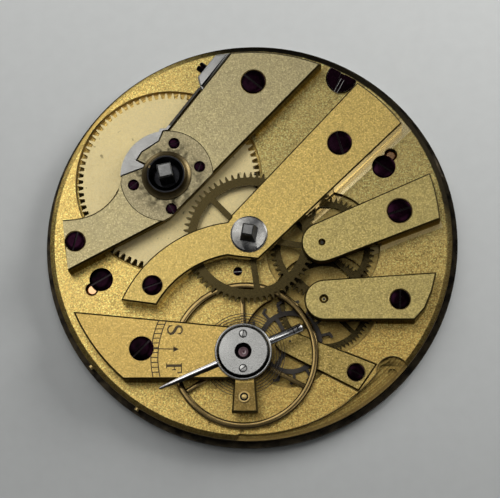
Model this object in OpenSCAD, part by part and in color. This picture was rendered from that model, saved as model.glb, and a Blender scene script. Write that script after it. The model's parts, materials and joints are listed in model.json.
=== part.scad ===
// Key-wound pocket watch movement, laid dial side down and seen from the bridge side.
// Millimetres. Origin at the middle of the dial's face, +Z out of the bridges, +Y towards twelve.

/* [Plate and dial] */
// Radius of the plate above its flange
plate_radius = 20.9; // [19.8:0.1:22]
// Width of the bevel round the plate's upper edge
plate_bevel = 0.5; // [0.2:0.05:0.7]
// Width of the thin flange that seats in the case
flange_width = 0.6; // [0.4:0.05:1.2]
// Thickness of that flange
flange_thick = 0.5; // [0.3:0.05:0.7]
// Thickness of the dial
dial_thick = 0.7; // [0.5:0.05:1]
// Height of the room for the motion work, between dial and plate
motion_room = 0.9; // [0.85:0.05:1.2]
// Thickness of the plate's web
web_thick = 1.6; // [1.5:0.05:2]

/* [Bars] */
// How far the ends of the bars stay inside the plate's edge
bar_setback = 1.25; // [0.9:0.05:1.6]
// Room between plate and bars
bar_room = 1.3; // [1.2:0.05:1.6]
// Thickness of the bars
bar_thick = 1; // [0.9:0.05:1.4]
// Height of the winding and setting squares above the bars
square_height = 2.4; // [1.5:0.1:3]
// Width across the flats of the winding square
winding_square = 1.47; // [1.2:0.01:1.55]
// Width across the flats of the setting square at its foot
setting_square = 1.65; // [1.4:0.01:1.8]
// Radius of the ratchet cap
barrel_cap_radius = 4.82; // [4.5:0.01:5]
// Radius of the collar round the winding square, at its top
collar_radius = 2; // [1.6:0.05:2.3]
// Head radius of the large bridge screws
large_head = 1.24; // [1:0.02:1.4]
// Head radius of the small bridge screws
small_head = 1; // [0.8:0.02:1.2]

/* [Train] */
// Teeth of the going barrel
barrel_teeth = 84; // [72:2:96]
// Leaves of the centre pinion
centre_leaves = 12; // [10:1:14]
// Teeth of the centre wheel
centre_teeth = 64; // [60:1:80]
// Leaves of the third pinion
third_leaves = 8; // [7:1:10]
// Teeth of the third wheel
third_teeth = 60; // [56:1:75]
// Leaves of the fourth pinion
fourth_leaves = 8; // [7:1:10]
// Teeth of the fourth wheel
fourth_teeth = 70; // [56:1:80]
// Leaves of the escape pinion
escape_leaves = 7; // [6:1:8]
// Teeth of the escape wheel
escape_teeth = 15; // [13:1:16]
// Leaves of the cannon pinion and of the minute pinion
cannon_leaves = 12; // [10:1:14]
// Teeth of the minute wheel
minute_teeth = 36; // [30:1:42]
// Teeth of the hour wheel
hour_teeth = 48; // [40:1:56]
// Teeth of the ratchet wheel
ratchet_teeth = 24; // [18:1:32]

/* [Balance] */
// Outer radius of the balance rim
balance_radius = 7.6; // [7:0.01:8.5]
// Width of the balance rim
rim_width = 0.7; // [0.55:0.05:1]
// Radius of the hairspring where its stud holds it
hairspring_outer = 4.58; // [4:0.01:5]
// Loops of the hairspring
hairspring_loops = 6; // [4:1:10]
// Thickness of the hairspring
hairspring_thick = 0.15; // [0.1:0.01:0.2]
// Radius of the endstone cap
endstone_cap_radius = 2.65; // [2.4:0.05:2.8]
// Width of the regulator's ring
regulator_ring = 0.29; // [0.25:0.01:0.5]
// Length of the regulator's tail from the balance axis
regulator_tail = 9.3; // [8.5:0.01:10]

/* [Fits] */
// Radial room of a pivot in its hole
pivot_room = 0.02; // [0.01:0.005:0.1]
// Radial room of a turning arbor
arbor_room = 0.03; // [0.01:0.005:0.1]
// Room round a screw
screw_room = 0.02; // [0.01:0.005:0.1]
// Height that turning pieces keep from fixed ones
end_shake = 0.03; // [0.02:0.01:0.1]

/* [Hidden] */
// Axes of the train, each from the middle of the dial
barrel_at = [-8.54, 6.33];
third_at = [7.47, -0.89];
fourth_at = [7.63, -6.8];
escape_at = [4.09, -10.74];
balance_at = [-0.56, -12.24];
motion_distance = 4.4;
motion_angle = -60;
minute_at = motion_distance * [cos(motion_angle), sin(motion_angle)];

// Modules follow from the distances between the axes
barrel_module = 2 * norm(barrel_at) / (barrel_teeth + centre_leaves);
centre_module = 2 * norm(third_at) / (centre_teeth + third_leaves);
third_module = 2 * norm(fourth_at - third_at) / (third_teeth + fourth_leaves);
fourth_module = 2 * norm(escape_at - fourth_at) / (fourth_teeth + escape_leaves);
minute_module = 2 * motion_distance / (minute_teeth + cannon_leaves);
hour_module = 2 * motion_distance / (hour_teeth + cannon_leaves);

// Tooth proportions in modules, and widths as shares of the pitch
wheel_addendum = 1.15;
wheel_dedendum = 1.55;
wheel_root_share = 0.56;
wheel_tip_share = 0.12;
leaf_addendum = 0.75;
leaf_dedendum = 1.75;
leaf_root_share = 0.46;
leaf_tip_share = 0.2;

// Levels of the frame, lowest first
flange_top = dial_thick + flange_thick;
web_bottom = dial_thick + motion_room;
plate_top = web_bottom + web_thick;
bar_bottom = plate_top + bar_room;
bar_top = bar_bottom + bar_thick;
square_top = bar_top + square_height;
flange_radius = plate_radius + flange_width;
bar_end_radius = plate_radius - bar_setback;

// Levels of the motion work, under the plate
hour_wheel_z = [dial_thick + 0.25, dial_thick + 0.45];
minute_wheel_z = [web_bottom - 0.32, web_bottom - 0.12];
cannon_leaves_z = [web_bottom - 0.4, web_bottom - end_shake];
pipe_end = dial_thick - 0.55;

// Levels of the train, down from the plate's top and from the bars
fourth_wheel_z = [plate_top - 1.14, plate_top - 0.94];
escape_wheel_z = [plate_top - 0.78, plate_top - 0.66];
escape_head_top = plate_top - 0.52;
escape_cock_bottom = plate_top - 0.45;
third_wheel_z = [plate_top - 0.4, plate_top - 0.15];
fourth_leaves_z = [plate_top - 0.6, plate_top + 0.1];
barrel_teeth_z = [plate_top - 0.5, plate_top + 0.1];
barrel_bottom = web_bottom + 0.08;
barrel_floor = barrel_bottom + 0.22;
barrel_ceiling = barrel_teeth_z[1] - 0.35;
balance_rim_z = [plate_top + 0.14, plate_top + 0.66];
balance_arm_z = [plate_top + 0.28, plate_top + 0.5];
centre_wheel_z = [bar_bottom - 0.52, bar_bottom - 0.22];
hairspring_z = bar_bottom - 0.35;
cap_bottom = bar_top - 0.4;
ratchet_floor = bar_bottom + 0.25;
ratchet_z = [ratchet_floor + end_shake, cap_bottom - 0.05];
click_z = [ratchet_floor + 0.05, bar_top];
jewel_bottom = bar_bottom + 0.5;
regulator_z = [bar_top + 0.02, bar_top + 0.42];

// Sinks in the plate's upper face, as radius and floor
barrel_drum_radius = barrel_module * (barrel_teeth / 2 - wheel_dedendum) - 0.1;
third_sink = [5.9, plate_top - 0.65];
fourth_sink = [5.45, plate_top - 1.3];
escape_sink = [4.75, plate_top - 1];
plate_bottom_ring = plate_radius - 1.5;
ratchet_radius = 2.45;
thread_end = plate_top - 1.2;
pin_radius = 0.3;
pin_end = plate_top - 1;
large_shank = 0.5;
small_shank = 0.42;
bridge_head = 0.55;
bridge_head_top = bar_top + 0.1;
dial_head = 1.21;
dial_head_top = plate_top + 0.08;

// Screws: places, and the turn of the slot
large_screws = [[0.44, 16.33, -40], [9.37, 9.59, -73], [15.44, 2.29, 18], [-10.96, -11.77, 45]];
small_screws = [[-17.93, -0.5, 75], [-9.91, -5.22, 20], [15.36, -6.94, 88]];
dial_screws_at = [[-15.46, -4.08, 30], [13.92, 7.6, -35]];
dial_feet_at = [[-16.41, -5.1], [14.65, 8.84]];
dial_foot_radius = 0.62;
cap_screw_radius = 3.55;
cap_screw_angles = [77.8, 15.4, 195.3, 278.5];
escape_screw_at = [10.79, -14.03];
case_screw_angle = 60.8;
case_screw_at = (plate_radius - 1.25) * [cos(case_screw_angle), sin(case_screw_angle)];
plate_screw_at = [-1.29, -3.38];
empty_case_screw_at = [14.52, -14.07];
stud_at = balance_at + hairspring_outer * [cos(271), sin(271)];
cap_jewel_screws = 1.77;
rim_pin_angles = [218.39, 236.14];

// The click's long spring runs beside the barrel bridge's straight edge
click_edge_start = [-8.46, 11.13];
click_edge_angle = 52.18;
click_root = 5.6;
click_root_at = click_edge_start + click_root * [cos(click_edge_angle), sin(click_edge_angle)]
    + 0.24 * [-sin(click_edge_angle), cos(click_edge_angle)];

$fn = 48;
sliver = 0.01;

// A round tooth ring, with a tooth in the middle of the +X side
module toothed(teeth, size, addendum, dedendum, root_share, tip_share) {
    pitch = 360 / teeth;
    root = size * (teeth / 2 - dedendum);
    tip = size * (teeth / 2 + addendum);
    polygon([for (i = [0 : teeth - 1]) for (corner = [
        [root, -root_share], [tip, -tip_share], [tip, tip_share], [root, root_share]])
        let (turn = pitch * (i + corner[1] / 2)) corner[0] * [cos(turn), sin(turn)]]);
}

module wheel_teeth(teeth, size) {
    toothed(teeth, size, wheel_addendum, wheel_dedendum, wheel_root_share, wheel_tip_share);
}

module pinion_leaves(leaves, size) {
    toothed(leaves, size, leaf_addendum, leaf_dedendum, leaf_root_share, leaf_tip_share);
}

function heading(from, to) = atan2(to[1] - from[1], to[0] - from[0]);

module slab(z) {
    translate([0, 0, z[0]])
        linear_extrude(z[1] - z[0])
            children();
}

module post(at, radius, low, high) {
    translate([at[0], at[1], low])
        cylinder(r = radius, h = high - low);
}

// A wheel's teeth, rim and spokes
module spoked_wheel(teeth, size, rim, hub, spokes, spoke_width, bore, turn) {
    root = size * (teeth / 2 - wheel_dedendum);
    difference() {
        wheel_teeth(teeth, size);
        difference() {
            circle(r = root - rim);
            circle(r = hub);
            for (i = [0 : spokes - 1])
                rotate(turn + i * 360 / spokes)
                    translate([0, -spoke_width / 2])
                        square([root, spoke_width]);
        }
        circle(r = bore);
    }
}

// A slotted screw: the head's top, radius and height, then the shank's radius and end
module slotted_screw(at, top, head, height, shank, end) {
    translate([at[0], at[1], 0])
        difference() {
            union() {
                post([0, 0], head, top - height, top - 0.12);
                translate([0, 0, top - 0.12])
                    cylinder(r1 = head, r2 = head - 0.12, h = 0.12);
                post([0, 0], shank, end, top - height + sliver);
            }
            rotate(at[2])
                translate([-head - 1, -head * 0.13, top - height * 0.45])
                    cube([2 * head + 2, head * 0.26, height]);
        }
}

// Room for such a screw in what it holds down
module screw_hole(at, top, head, height, shank, end) {
    post(at, head + screw_room, top - height, top + 3);
    post(at, shank + screw_room, end, top);
}

// Plan outlines of the bars
module inside_bar_ends() {
    intersection() {
        circle(r = bar_end_radius, $fn = 96);
        children();
    }
}

module barrel_bridge_outline() {
    inside_bar_ends()
        difference() {
            polygon([[-0.5, 21.38], [9.4, 20.1], [-8.25, 1.83], [-18.61, -3.6], [-19.29, 1.8], [-17.99, 1.89],
                [-13.28, 5.97], [-13.18, 6.37], [-10.79, 7.26], [-10.69, 7.62], [-11.63, 8.06], [-11.13, 8.91],
                [-10.29, 9.43], [-9.36, 10.07], [-8.91, 11.14], [-8.46, 11.13]]);
            translate([-18.38, 7.15])
                circle(r = 5.25);
        }
}

module centre_bridge_outline() {
    inside_bar_ends()
        union() {
            polygon([[-1.87, 2.03], [12.66, 17.56], [17.65, 13.33], [0.89, -2.49], [-1.46, -2.31]]);
            intersection() {
                translate(balance_at)
                    difference() {
                        circle(r = 13.7, $fn = 96);
                        circle(r = 10.2, $fn = 96);
                    }
                polygon([[-8.2, -7.44], [-13.31, -6.69], [-13.44, 2.68], [-2.56, 2.54], [1.18, -2.15], [0.5, -3.42]]);
            }
            circle(r = 2.6);
        }
}

module third_cock_outline() {
    inside_bar_ends()
        union() {
            polygon([[6.28, 0.52], [20.68, 7.24], [21.55, 2.14], [8.79, -2.65]]);
            translate(third_at)
                circle(r = 2.1);
        }
}

module fourth_cock_outline() {
    inside_bar_ends()
        union() {
            polygon([[8.4, -4.93], [19.1, -4.17], [18.65, -6.05], [17.9, -7.85], [16.82, -9.08], [7.88, -8.95]]);
            translate(fourth_at + [0.1, -0.1])
                circle(r = 2.1);
        }
}

module escape_cock_outline() {
    polygon([[12.96, -13.21], [5.02, -9.95], [4.01, -9.65], [2.93, -10.13], [2.49, -11.16], [2.98, -11.74],
        [10.98, -16.09]]);
}

module balance_cock_outline() {
    inside_bar_ends()
        union() {
            polygon([[-19.58, -7.69], [-2.04, -9.53], [-1.15, -14.93], [-14.07, -14.91], [-19.5, -11.97]]);
            translate(balance_at)
                circle(r = 2.9);
            polygon([[-1.5, -14.35], [0.6, -14.37], [0.91, -18.39], [-1.74, -18.36]]);
        }
}

// A bar with a foot under the part of it that no wheel passes below
module bar_with_foot() {
    slab([bar_bottom, bar_top])
        children(0);
    slab([plate_top, bar_bottom + sliver])
        difference() {
            children(0);
            children(1);
        }
}

module at_plan(at) {
    translate([at[0], at[1], 0])
        children();
}

// A small cup for oil round a pivot
module oil_cup(at, radius, depth) {
    translate([at[0], at[1], bar_top - depth])
        cylinder(r1 = radius * 0.45, r2 = radius + sliver, h = depth + sliver);
}

module dial() {
    color([0.93, 0.92, 0.88])
        difference() {
            cylinder(r = flange_radius - 0.25, h = dial_thick, $fn = 96);
            translate([0, 0, -1])
                cylinder(r = 1.75, h = dial_thick + 2);
        }
}

module dial_feet() {
    color([0.72, 0.45, 0.3])
        for (at = dial_feet_at)
            post(at, dial_foot_radius, dial_thick, plate_top - 0.42);
}

module dial_screws() {
    color([0.12, 0.1, 0.16])
        for (at = dial_screws_at)
            slotted_screw(at, dial_head_top, dial_head, 0.48, 0.45, web_bottom - 0.5);
}

module main_plate() {
    color([0.83, 0.68, 0.38])
        difference() {
            union() {
                post([0, 0], flange_radius, dial_thick, flange_top, $fn = 96);
                post([0, 0], plate_radius, flange_top - sliver, plate_top - 0.3, $fn = 96);
                translate([0, 0, plate_top - 0.3 - sliver])
                    cylinder(r1 = plate_radius, r2 = plate_radius - plate_bevel, h = 0.3 + sliver, $fn = 96);
            }
            difference() {
                post([0, 0], plate_bottom_ring, 0, web_bottom, $fn = 96);
                for (at = dial_feet_at)
                    post(at, 1.5, 0, web_bottom);
                for (at = dial_screws_at)
                    post(at, 1.2, 0, web_bottom);
            }
            // barrel
            post(barrel_at, barrel_drum_radius + 0.2, 0, 9, $fn = 96);
            post(barrel_at, barrel_module * (barrel_teeth / 2 + wheel_addendum) + 0.2, barrel_teeth_z[0] - 0.15, 9, $fn = 96);
            // train
            post([0, 0], 1.75, barrel_teeth_z[0] - 0.3, 9);
            post([0, 0], 0.9 + arbor_room, 0, 9);
            post(third_at, third_sink[0], third_sink[1], 9, $fn = 96);
            post(third_at, 0.15 + pivot_room, third_sink[1] - 0.55, 9);
            post(fourth_at, fourth_sink[0], fourth_sink[1], 9, $fn = 96);
            post(fourth_at, 0.13 + pivot_room, 0, 9);
            post(escape_at, escape_sink[0], escape_sink[1], 9, $fn = 96);
            post(escape_at, 0.9, fourth_sink[1], 9);
            post(escape_at, 0.1 + pivot_room, 0, 9);
            post(balance_at, 0.9, 0, 9);
            // seat of the low cock
            slab([escape_cock_bottom, 9])
                escape_cock_outline();
            post(escape_screw_at, 0.4 + screw_room, thread_end, 9);
            // motion work
            post(minute_at, 0.35, 0, web_bottom + 0.7);
            // dial feet and their screws
            for (at = dial_feet_at)
                post(at, dial_foot_radius + 0.05, 0, 9);
            for (at = dial_screws_at)
                screw_hole(at, dial_head_top, dial_head, 0.48, 0.45, 0);
            // case screws
            post(case_screw_at, 0.5 + screw_room, 0, 9);
            post(empty_case_screw_at, 1.65, plate_top - 0.6, 9);
            post(empty_case_screw_at, 0.5, thread_end, 9);
            // plain step along the lower right edge, running out to the left
            slab([plate_top - 0.7, 9])
                difference() {
                    polygon([[-3, -23], [1, -17], [12.9, -13.3], [20, -13.3], [20, -23]]);
                    translate([0.15, -4.14])
                        circle(r = 16.19, $fn = 96);
                }
            // threads and pins of the bars
            for (at = large_screws)
                post(at, large_shank + screw_room, thread_end, 9);
            for (at = small_screws)
                post(at, small_shank + screw_room, thread_end, 9);
            for (at = steady_pins_at)
                post(at, pin_radius, pin_end, 9);
            post(chariot_screw_at, 0.4 + screw_room, 0, web_bottom + 1.3);
            for (angle = rim_pin_angles)
                rim_pin(angle);
            screw_hole(plate_screw_at, plate_top - 0.12, 0.44, 0.4, 0.25, thread_end);
            for (at = [[-4.1, -19.12], [-0.83, -20], [1.91, -19.54]])
                post(at, 0.13, plate_top - 0.2, 9);
        }
}

steady_pins_at = [[3.3, 17.14], [-15.96, -0.86], [12.49, 11.52], [-11.05, -6.42], [17.3, 4.16], [16.93, -5.75],
    [-15.22, -10.27], [-13.81, -13.09]];
chariot_screw_at = balance_at + [-4.65, 0];

module rim_pin(angle) {
    rotate(angle)
        translate([plate_radius - 1.2, 0, flange_top + 0.8])
            rotate([0, 90, 0])
                cylinder(r = 0.25, h = 1.5);
}

module rim_pins() {
    color([0.85, 0.66, 0.32])
        for (angle = rim_pin_angles)
            rim_pin(angle);
}

// One side of its head is cut away, flush with the plate's upper edge
module case_screw() {
    color([0.12, 0.1, 0.16])
        difference() {
            slotted_screw([case_screw_at[0], case_screw_at[1], 70], plate_top + 0.45, 1.62, 0.45, 0.5, flange_top + 0.1);
            rotate(case_screw_angle)
                translate([plate_radius - 0.72, -3, plate_top - sliver])
                    cube([3, 6, 2]);
        }
}

module plate_screw() {
    color([0.12, 0.1, 0.16])
        slotted_screw([plate_screw_at[0], plate_screw_at[1], 5], plate_top - 0.12, 0.44, 0.4, 0.25, thread_end);
}

module barrel_bridge() {
    color([0.83, 0.68, 0.38])
        difference() {
            bar_with_foot() {
                barrel_bridge_outline();
                union() {
                    translate(barrel_at)
                        circle(r = 10.25, $fn = 96);
                    circle(r = 7.5, $fn = 96);
                }
            }
            post(barrel_at, barrel_cap_radius + 0.02, cap_bottom, 9, $fn = 96);
            post(barrel_at, ratchet_radius + 0.3, ratchet_floor, 9);
            post(barrel_at, 1.1 + arbor_room, 0, 9);
            screw_hole(large_screws[0], bridge_head_top, large_head, bridge_head, large_shank, 0);
            screw_hole(small_screws[0], bridge_head_top, small_head, bridge_head, small_shank, 0);
            for (angle = cap_screw_angles)
                post(barrel_at + cap_screw_radius * [cos(angle), sin(angle)], 0.25 + screw_room, 0, 9);
            for (at = [steady_pins_at[0], steady_pins_at[1]])
                post(at, pin_radius, 0, bar_bottom + 0.5);
            click_screw_body(screw_room);
        }
}

module ratchet_cap() {
    color([0.86, 0.72, 0.42])
        difference() {
            slab([cap_bottom, bar_top])
                intersection() {
                    barrel_bridge_outline();
                    translate(barrel_at)
                        circle(r = barrel_cap_radius, $fn = 96);
                }
            post(barrel_at, collar_radius + 0.08, 0, 9);
            for (angle = cap_screw_angles)
                screw_hole(barrel_at + cap_screw_radius * [cos(angle), sin(angle)], bar_top + 0.02, 0.58, 0.25, 0.25, 0);
        }
}

module ratchet_cap_screws() {
    color([0.12, 0.1, 0.16])
        for (angle = cap_screw_angles)
            let (at = barrel_at + cap_screw_radius * [cos(angle), sin(angle)])
                slotted_screw([at[0], at[1], angle * 3], bar_top + 0.02, 0.58, 0.25, 0.25, bar_bottom);
}

module barrel_drum() {
    color([0.88, 0.76, 0.5])
        at_plan(barrel_at)
            difference() {
                union() {
                    slab(barrel_teeth_z)
                        rotate(heading(barrel_at, [0, 0]))
                            wheel_teeth(barrel_teeth, barrel_module);
                    post([0, 0], barrel_drum_radius, barrel_floor, barrel_teeth_z[0] + sliver, $fn = 96);
                }
                post([0, 0], barrel_inside, barrel_floor - 1, barrel_ceiling, $fn = 96);
                post([0, 0], 1.1 + arbor_room, 0, 9);
            }
}

module barrel_cover() {
    color([0.86, 0.72, 0.42])
        at_plan(barrel_at)
            difference() {
                post([0, 0], barrel_drum_radius, barrel_bottom, barrel_floor, $fn = 96);
                post([0, 0], 0.8 + arbor_room, 0, 9);
            }
}

// The wound spring: half rings on two centres, each a strip wider than the last, from arbor to wall
barrel_inside = barrel_drum_radius - 0.8;
arbor_hub = 1.9;
mainspring_strip = 0.16;
mainspring_coils = 12;
mainspring_start = arbor_hub + mainspring_strip / 2 + 0.02;
mainspring_pitch = (barrel_inside - mainspring_strip / 2 - 0.02 - mainspring_start) / mainspring_coils;
module half_ring(radius, strip, upper) {
    intersection() {
        difference() {
            circle(r = radius + strip / 2, $fn = 96);
            circle(r = radius - strip / 2, $fn = 96);
        }
        translate([-20, upper ? 0 : -20])
            square([40, 20]);
    }
}

module mainspring() {
    color([0.35, 0.38, 0.45])
        at_plan(barrel_at)
            slab([barrel_floor + 0.08, barrel_ceiling - 0.1])
                for (i = [0 : 2 * mainspring_coils])
                    let (radius = mainspring_start + i * mainspring_pitch / 2)
                        translate([i % 2 == 0 ? 0 : mainspring_pitch / 2, 0])
                            half_ring(radius, mainspring_strip, i % 2 == 0);
}

module barrel_arbor() {
    color([0.6, 0.6, 0.62])
        at_plan(barrel_at)
            union() {
                post([0, 0], 0.8, barrel_bottom, barrel_floor + 0.1);
                post([0, 0], arbor_hub, barrel_floor + end_shake, barrel_ceiling - end_shake);
                post([0, 0], 1.1, barrel_ceiling - 0.1, ratchet_z[0]);
                square_end(winding_square, winding_square, ratchet_z[0] - sliver, 12);
            }
}

// A key's square from its width at the foot to that at the top, with a small bevel
module square_end(flats, top_flats, low, turn) {
    rotate(turn + 45)
        translate([0, 0, low]) {
            cylinder(r1 = flats / sqrt(2), r2 = top_flats / sqrt(2), h = square_top - 0.15 - low, $fn = 4);
            translate([0, 0, square_top - 0.15 - sliver - low])
                cylinder(r1 = top_flats / sqrt(2), r2 = top_flats / sqrt(2) - 0.2, h = 0.15 + sliver, $fn = 4);
        }
}

module ratchet_wheel() {
    color([0.6, 0.6, 0.62])
        at_plan(barrel_at)
            slab(ratchet_z)
                difference() {
                    polygon([for (i = [0 : ratchet_teeth - 1]) for (corner = [[ratchet_radius - 0.3, 0.05], [ratchet_radius, 0.9]])
                        let (turn = 360 / ratchet_teeth * (i + corner[1])) corner[0] * [cos(turn), sin(turn)]]);
                    rotate(12)
                        square(winding_square, center = true);
                }
}

module winding_collar() {
    color([0.1, 0.1, 0.12])
        at_plan(barrel_at)
            rotate_extrude($fn = 64)
                polygon([[1.35, ratchet_z[1]], [collar_radius, ratchet_z[1]], [collar_radius, bar_top + 0.05],
                    [collar_radius + 0.58, bar_top + 0.05], [collar_radius + 0.58, bar_top + 0.2],
                    [collar_radius + 0.3, bar_top + 0.3], [collar_radius + 0.08, bar_top + 0.52],
                    [collar_radius, bar_top + 0.8], [collar_radius - 0.2, bar_top + 0.8], [1.35, bar_top + 0.35]]);
}

// Places beside the barrel bridge's edge: along it, and away from it
module beside_edge(along, away) {
    translate([click_edge_start[0], click_edge_start[1], 0])
        rotate(click_edge_angle)
            translate([along, away, 0])
                children();
}

module click() {
    color([0.62, 0.62, 0.64]) {
        slab(click_z)
            difference() {
                union() {
                    intersection() {
                        translate(barrel_at)
                            circle(r = barrel_cap_radius, $fn = 96);
                        polygon([[-13.39, 6.39], [-13.46, 11.72], [-9.26, 11.65], [-9.02, 11.2], [-9.44, 10.12], [-10.35, 9.52],
                            [-11.2, 8.98], [-11.76, 8.08], [-11.76, 8], [-10.83, 7.57], [-10.89, 7.34], [-13.13, 6.5]]);
                    }
                    polygon([[-9.7, 10.6], [-9.44, 10.14], [-9.02, 11.2], [-8.49, 11.29], [-8.68, 11.44], [-9.26, 11.4]]);
                }
                translate(barrel_at)
                    circle(r = ratchet_radius + 0.03);
            }
        slab([click_z[0], click_z[1] - 0.1])
            beside_edge(0, 0)
                translate([0.05, 0.12])
                    square([click_root - 0.05, 0.24]);
        post(click_root_at, 0.12, click_z[0], click_z[1] - 0.1);
    }
}

module click_foot() {
    color([0.68, 0.68, 0.7])
        difference() {
            slab([plate_top, bar_top])
                inside_bar_ends()
                    beside_edge(0, 0)
                        polygon([[click_root - 0.05, 0], [click_root + 0.9, 1.15], [12, 1.15], [12, 0]]);
            post(click_root_at, 0.12 + arbor_room, 0, 9);
            slab([0, 9])
                beside_edge(0, 0)
                    polygon([[0, -1], [0, 0.9], [click_root + 0.05, 0.55], [click_root + 0.05, -1]]);
            post(barrel_at, 10.25, 0, plate_top + 0.6, $fn = 96);
            click_screw_body(screw_room);
        }
}

// A screw that lies flat, through the click's foot and into the bridge's side
module click_screw_body(room) {
    beside_edge(7.7, 0)
        translate([0, -1.2, bar_bottom + 0.1])
            rotate([-90, 0, 0])
                cylinder(r = 0.28 + room, h = 2.4);
}

module click_screw() {
    color([0.12, 0.1, 0.16])
        difference() {
            union() {
                click_screw_body(0);
                beside_edge(7.7, 1.15)
                    translate([0, 0, bar_bottom + 0.1])
                        rotate([-90, 0, 0])
                            cylinder(r = 0.52, h = 0.8);
            }
            beside_edge(7.7, 1.75)
                translate([-0.07, 0, bar_bottom - 0.9])
                    cube([0.14, 1, 2]);
        }
}

module centre_bridge() {
    color([0.83, 0.68, 0.38])
        difference() {
            bar_with_foot() {
                centre_bridge_outline();
                union() {
                    circle(r = 7.5, $fn = 96);
                    translate(barrel_at)
                        circle(r = 10.25, $fn = 96);
                }
            }
            post([0, 0], 0.9 + arbor_room, 0, 9);
            screw_hole(large_screws[1], bridge_head_top, large_head, bridge_head, large_shank, 0);
            screw_hole(small_screws[1], bridge_head_top, small_head, bridge_head, small_shank, 0);
            for (at = [steady_pins_at[2], steady_pins_at[3]])
                post(at, pin_radius, 0, bar_bottom + 0.5);
        }
}

module centre_pinion() {
    color([0.6, 0.6, 0.62])
        difference() {
            union() {
                post([0, 0], 0.9, web_bottom + 0.02, bar_top - 0.05);
                slab([barrel_teeth_z[0] - 0.25, barrel_teeth_z[1] + 0.1])
                    rotate(heading([0, 0], barrel_at) + 180 / centre_leaves)
                        pinion_leaves(centre_leaves, barrel_module);
                post([0, 0], 1.3, barrel_teeth_z[1] + 0.1 - sliver, centre_wheel_z[0]);
            }
            post([0, 0], 0.5 + arbor_room, 0, 9);
        }
}

module centre_wheel() {
    color([0.82, 0.66, 0.36])
        slab(centre_wheel_z)
            rotate(heading([0, 0], third_at))
                spoked_wheel(centre_teeth, centre_module, 0.85, 1.6, 5, 0.62, 0.9, 134 - heading([0, 0], third_at));
}

module setting_arbor() {
    color([0.62, 0.62, 0.64])
        union() {
            post([0, 0], 0.5, pipe_end, bar_top + 0.1);
            post([0, 0], 1.9, bar_top + end_shake, bar_top + 0.2);
            translate([0, 0, bar_top + 0.2 - sliver])
                cylinder(r1 = 1.9, r2 = 1.75, h = 0.1);
            square_end(setting_square, setting_square - 0.45, bar_top + 0.1, -10);
        }
}

module cannon_pinion() {
    color([0.6, 0.6, 0.62])
        difference() {
            union() {
                slab(cannon_leaves_z)
                    rotate(motion_angle)
                        pinion_leaves(cannon_leaves, minute_module);
                post([0, 0], 0.72, pipe_end, cannon_leaves_z[0] + sliver);
            }
            post([0, 0], 0.5, 0, 9);
        }
}

module minute_wheel() {
    color([0.82, 0.66, 0.36])
        slab(minute_wheel_z)
            translate(minute_at)
                rotate(motion_angle + 180 + 180 / minute_teeth)
                    spoked_wheel(minute_teeth, minute_module, 0.5, 1.1, 4, 0.5, 0.62, 45);
}

module minute_pinion() {
    color([0.6, 0.6, 0.62])
        at_plan(minute_at)
            difference() {
                union() {
                    slab([dial_thick + 0.15, minute_wheel_z[0]])
                        rotate(motion_angle + 180 + 180 / cannon_leaves)
                            pinion_leaves(cannon_leaves, hour_module);
                    post([0, 0], 0.62, minute_wheel_z[0] - 0.1, minute_wheel_z[1]);
                }
                post([0, 0], 0.35 + arbor_room, 0, 9);
            }
}

module minute_post() {
    color([0.6, 0.6, 0.62])
        post(minute_at, 0.35, dial_thick + 0.1, web_bottom + 0.7);
}

module hour_wheel() {
    color([0.82, 0.66, 0.36])
        difference() {
            union() {
                slab(hour_wheel_z)
                    rotate(motion_angle)
                        wheel_teeth(hour_teeth, hour_module);
                post([0, 0], 1.3, pipe_end, hour_wheel_z[1]);
            }
            post([0, 0], 0.72 + arbor_room, 0, 9);
        }
}

module third_cock() {
    color([0.83, 0.68, 0.38])
        difference() {
            bar_with_foot() {
                third_cock_outline();
                union() {
                    circle(r = 7.5, $fn = 96);
                    translate(third_at)
                        circle(r = 6.1, $fn = 96);
                }
            }
            post(third_at, 0.15 + pivot_room, 0, 9);
            oil_cup(third_at, 0.37, 0.2);
            screw_hole(large_screws[2], bridge_head_top, large_head, bridge_head, large_shank, 0);
            post(steady_pins_at[4], pin_radius, 0, bar_bottom + 0.5);
        }
}

module third_pinion() {
    color([0.6, 0.6, 0.62])
        at_plan(third_at) {
            post([0, 0], 0.15, third_sink[1] - 0.5, bar_top - 0.2);
            post([0, 0], 0.42, third_sink[1] + end_shake, centre_wheel_z[0] - 0.2);
            slab([centre_wheel_z[0] - 0.22, bar_bottom - 0.08])
                rotate(heading(third_at, [0, 0]) + 180 / third_leaves)
                    pinion_leaves(third_leaves, centre_module);
        }
}

module third_wheel() {
    color([0.82, 0.66, 0.36])
        slab(third_wheel_z)
            translate(third_at)
                rotate(heading(third_at, fourth_at))
                    spoked_wheel(third_teeth, third_module, 0.6, 1.1, 4, 0.5, 0.42, 45);
}

module fourth_cock() {
    color([0.83, 0.68, 0.38])
        difference() {
            bar_with_foot() {
                fourth_cock_outline();
                union() {
                    translate(fourth_at)
                        circle(r = 5.7, $fn = 96);
                    translate(third_at)
                        circle(r = 6.1, $fn = 96);
                }
            }
            post(fourth_at, 0.13 + pivot_room, 0, 9);
            oil_cup(fourth_at, 0.47, 0.25);
            screw_hole(small_screws[2], bridge_head_top, small_head, bridge_head, small_shank, 0);
            post(steady_pins_at[5], pin_radius, 0, bar_bottom + 0.5);
        }
}

module fourth_pinion() {
    color([0.6, 0.6, 0.62])
        at_plan(fourth_at) {
            post([0, 0], 0.13, web_bottom + 0.02, bar_top - 0.25);
            post([0, 0], 0.3, fourth_sink[1] + end_shake, bar_bottom - 0.08);
            slab(fourth_leaves_z)
                rotate(heading(fourth_at, third_at) + 180 / fourth_leaves)
                    pinion_leaves(fourth_leaves, third_module);
        }
}

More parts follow.
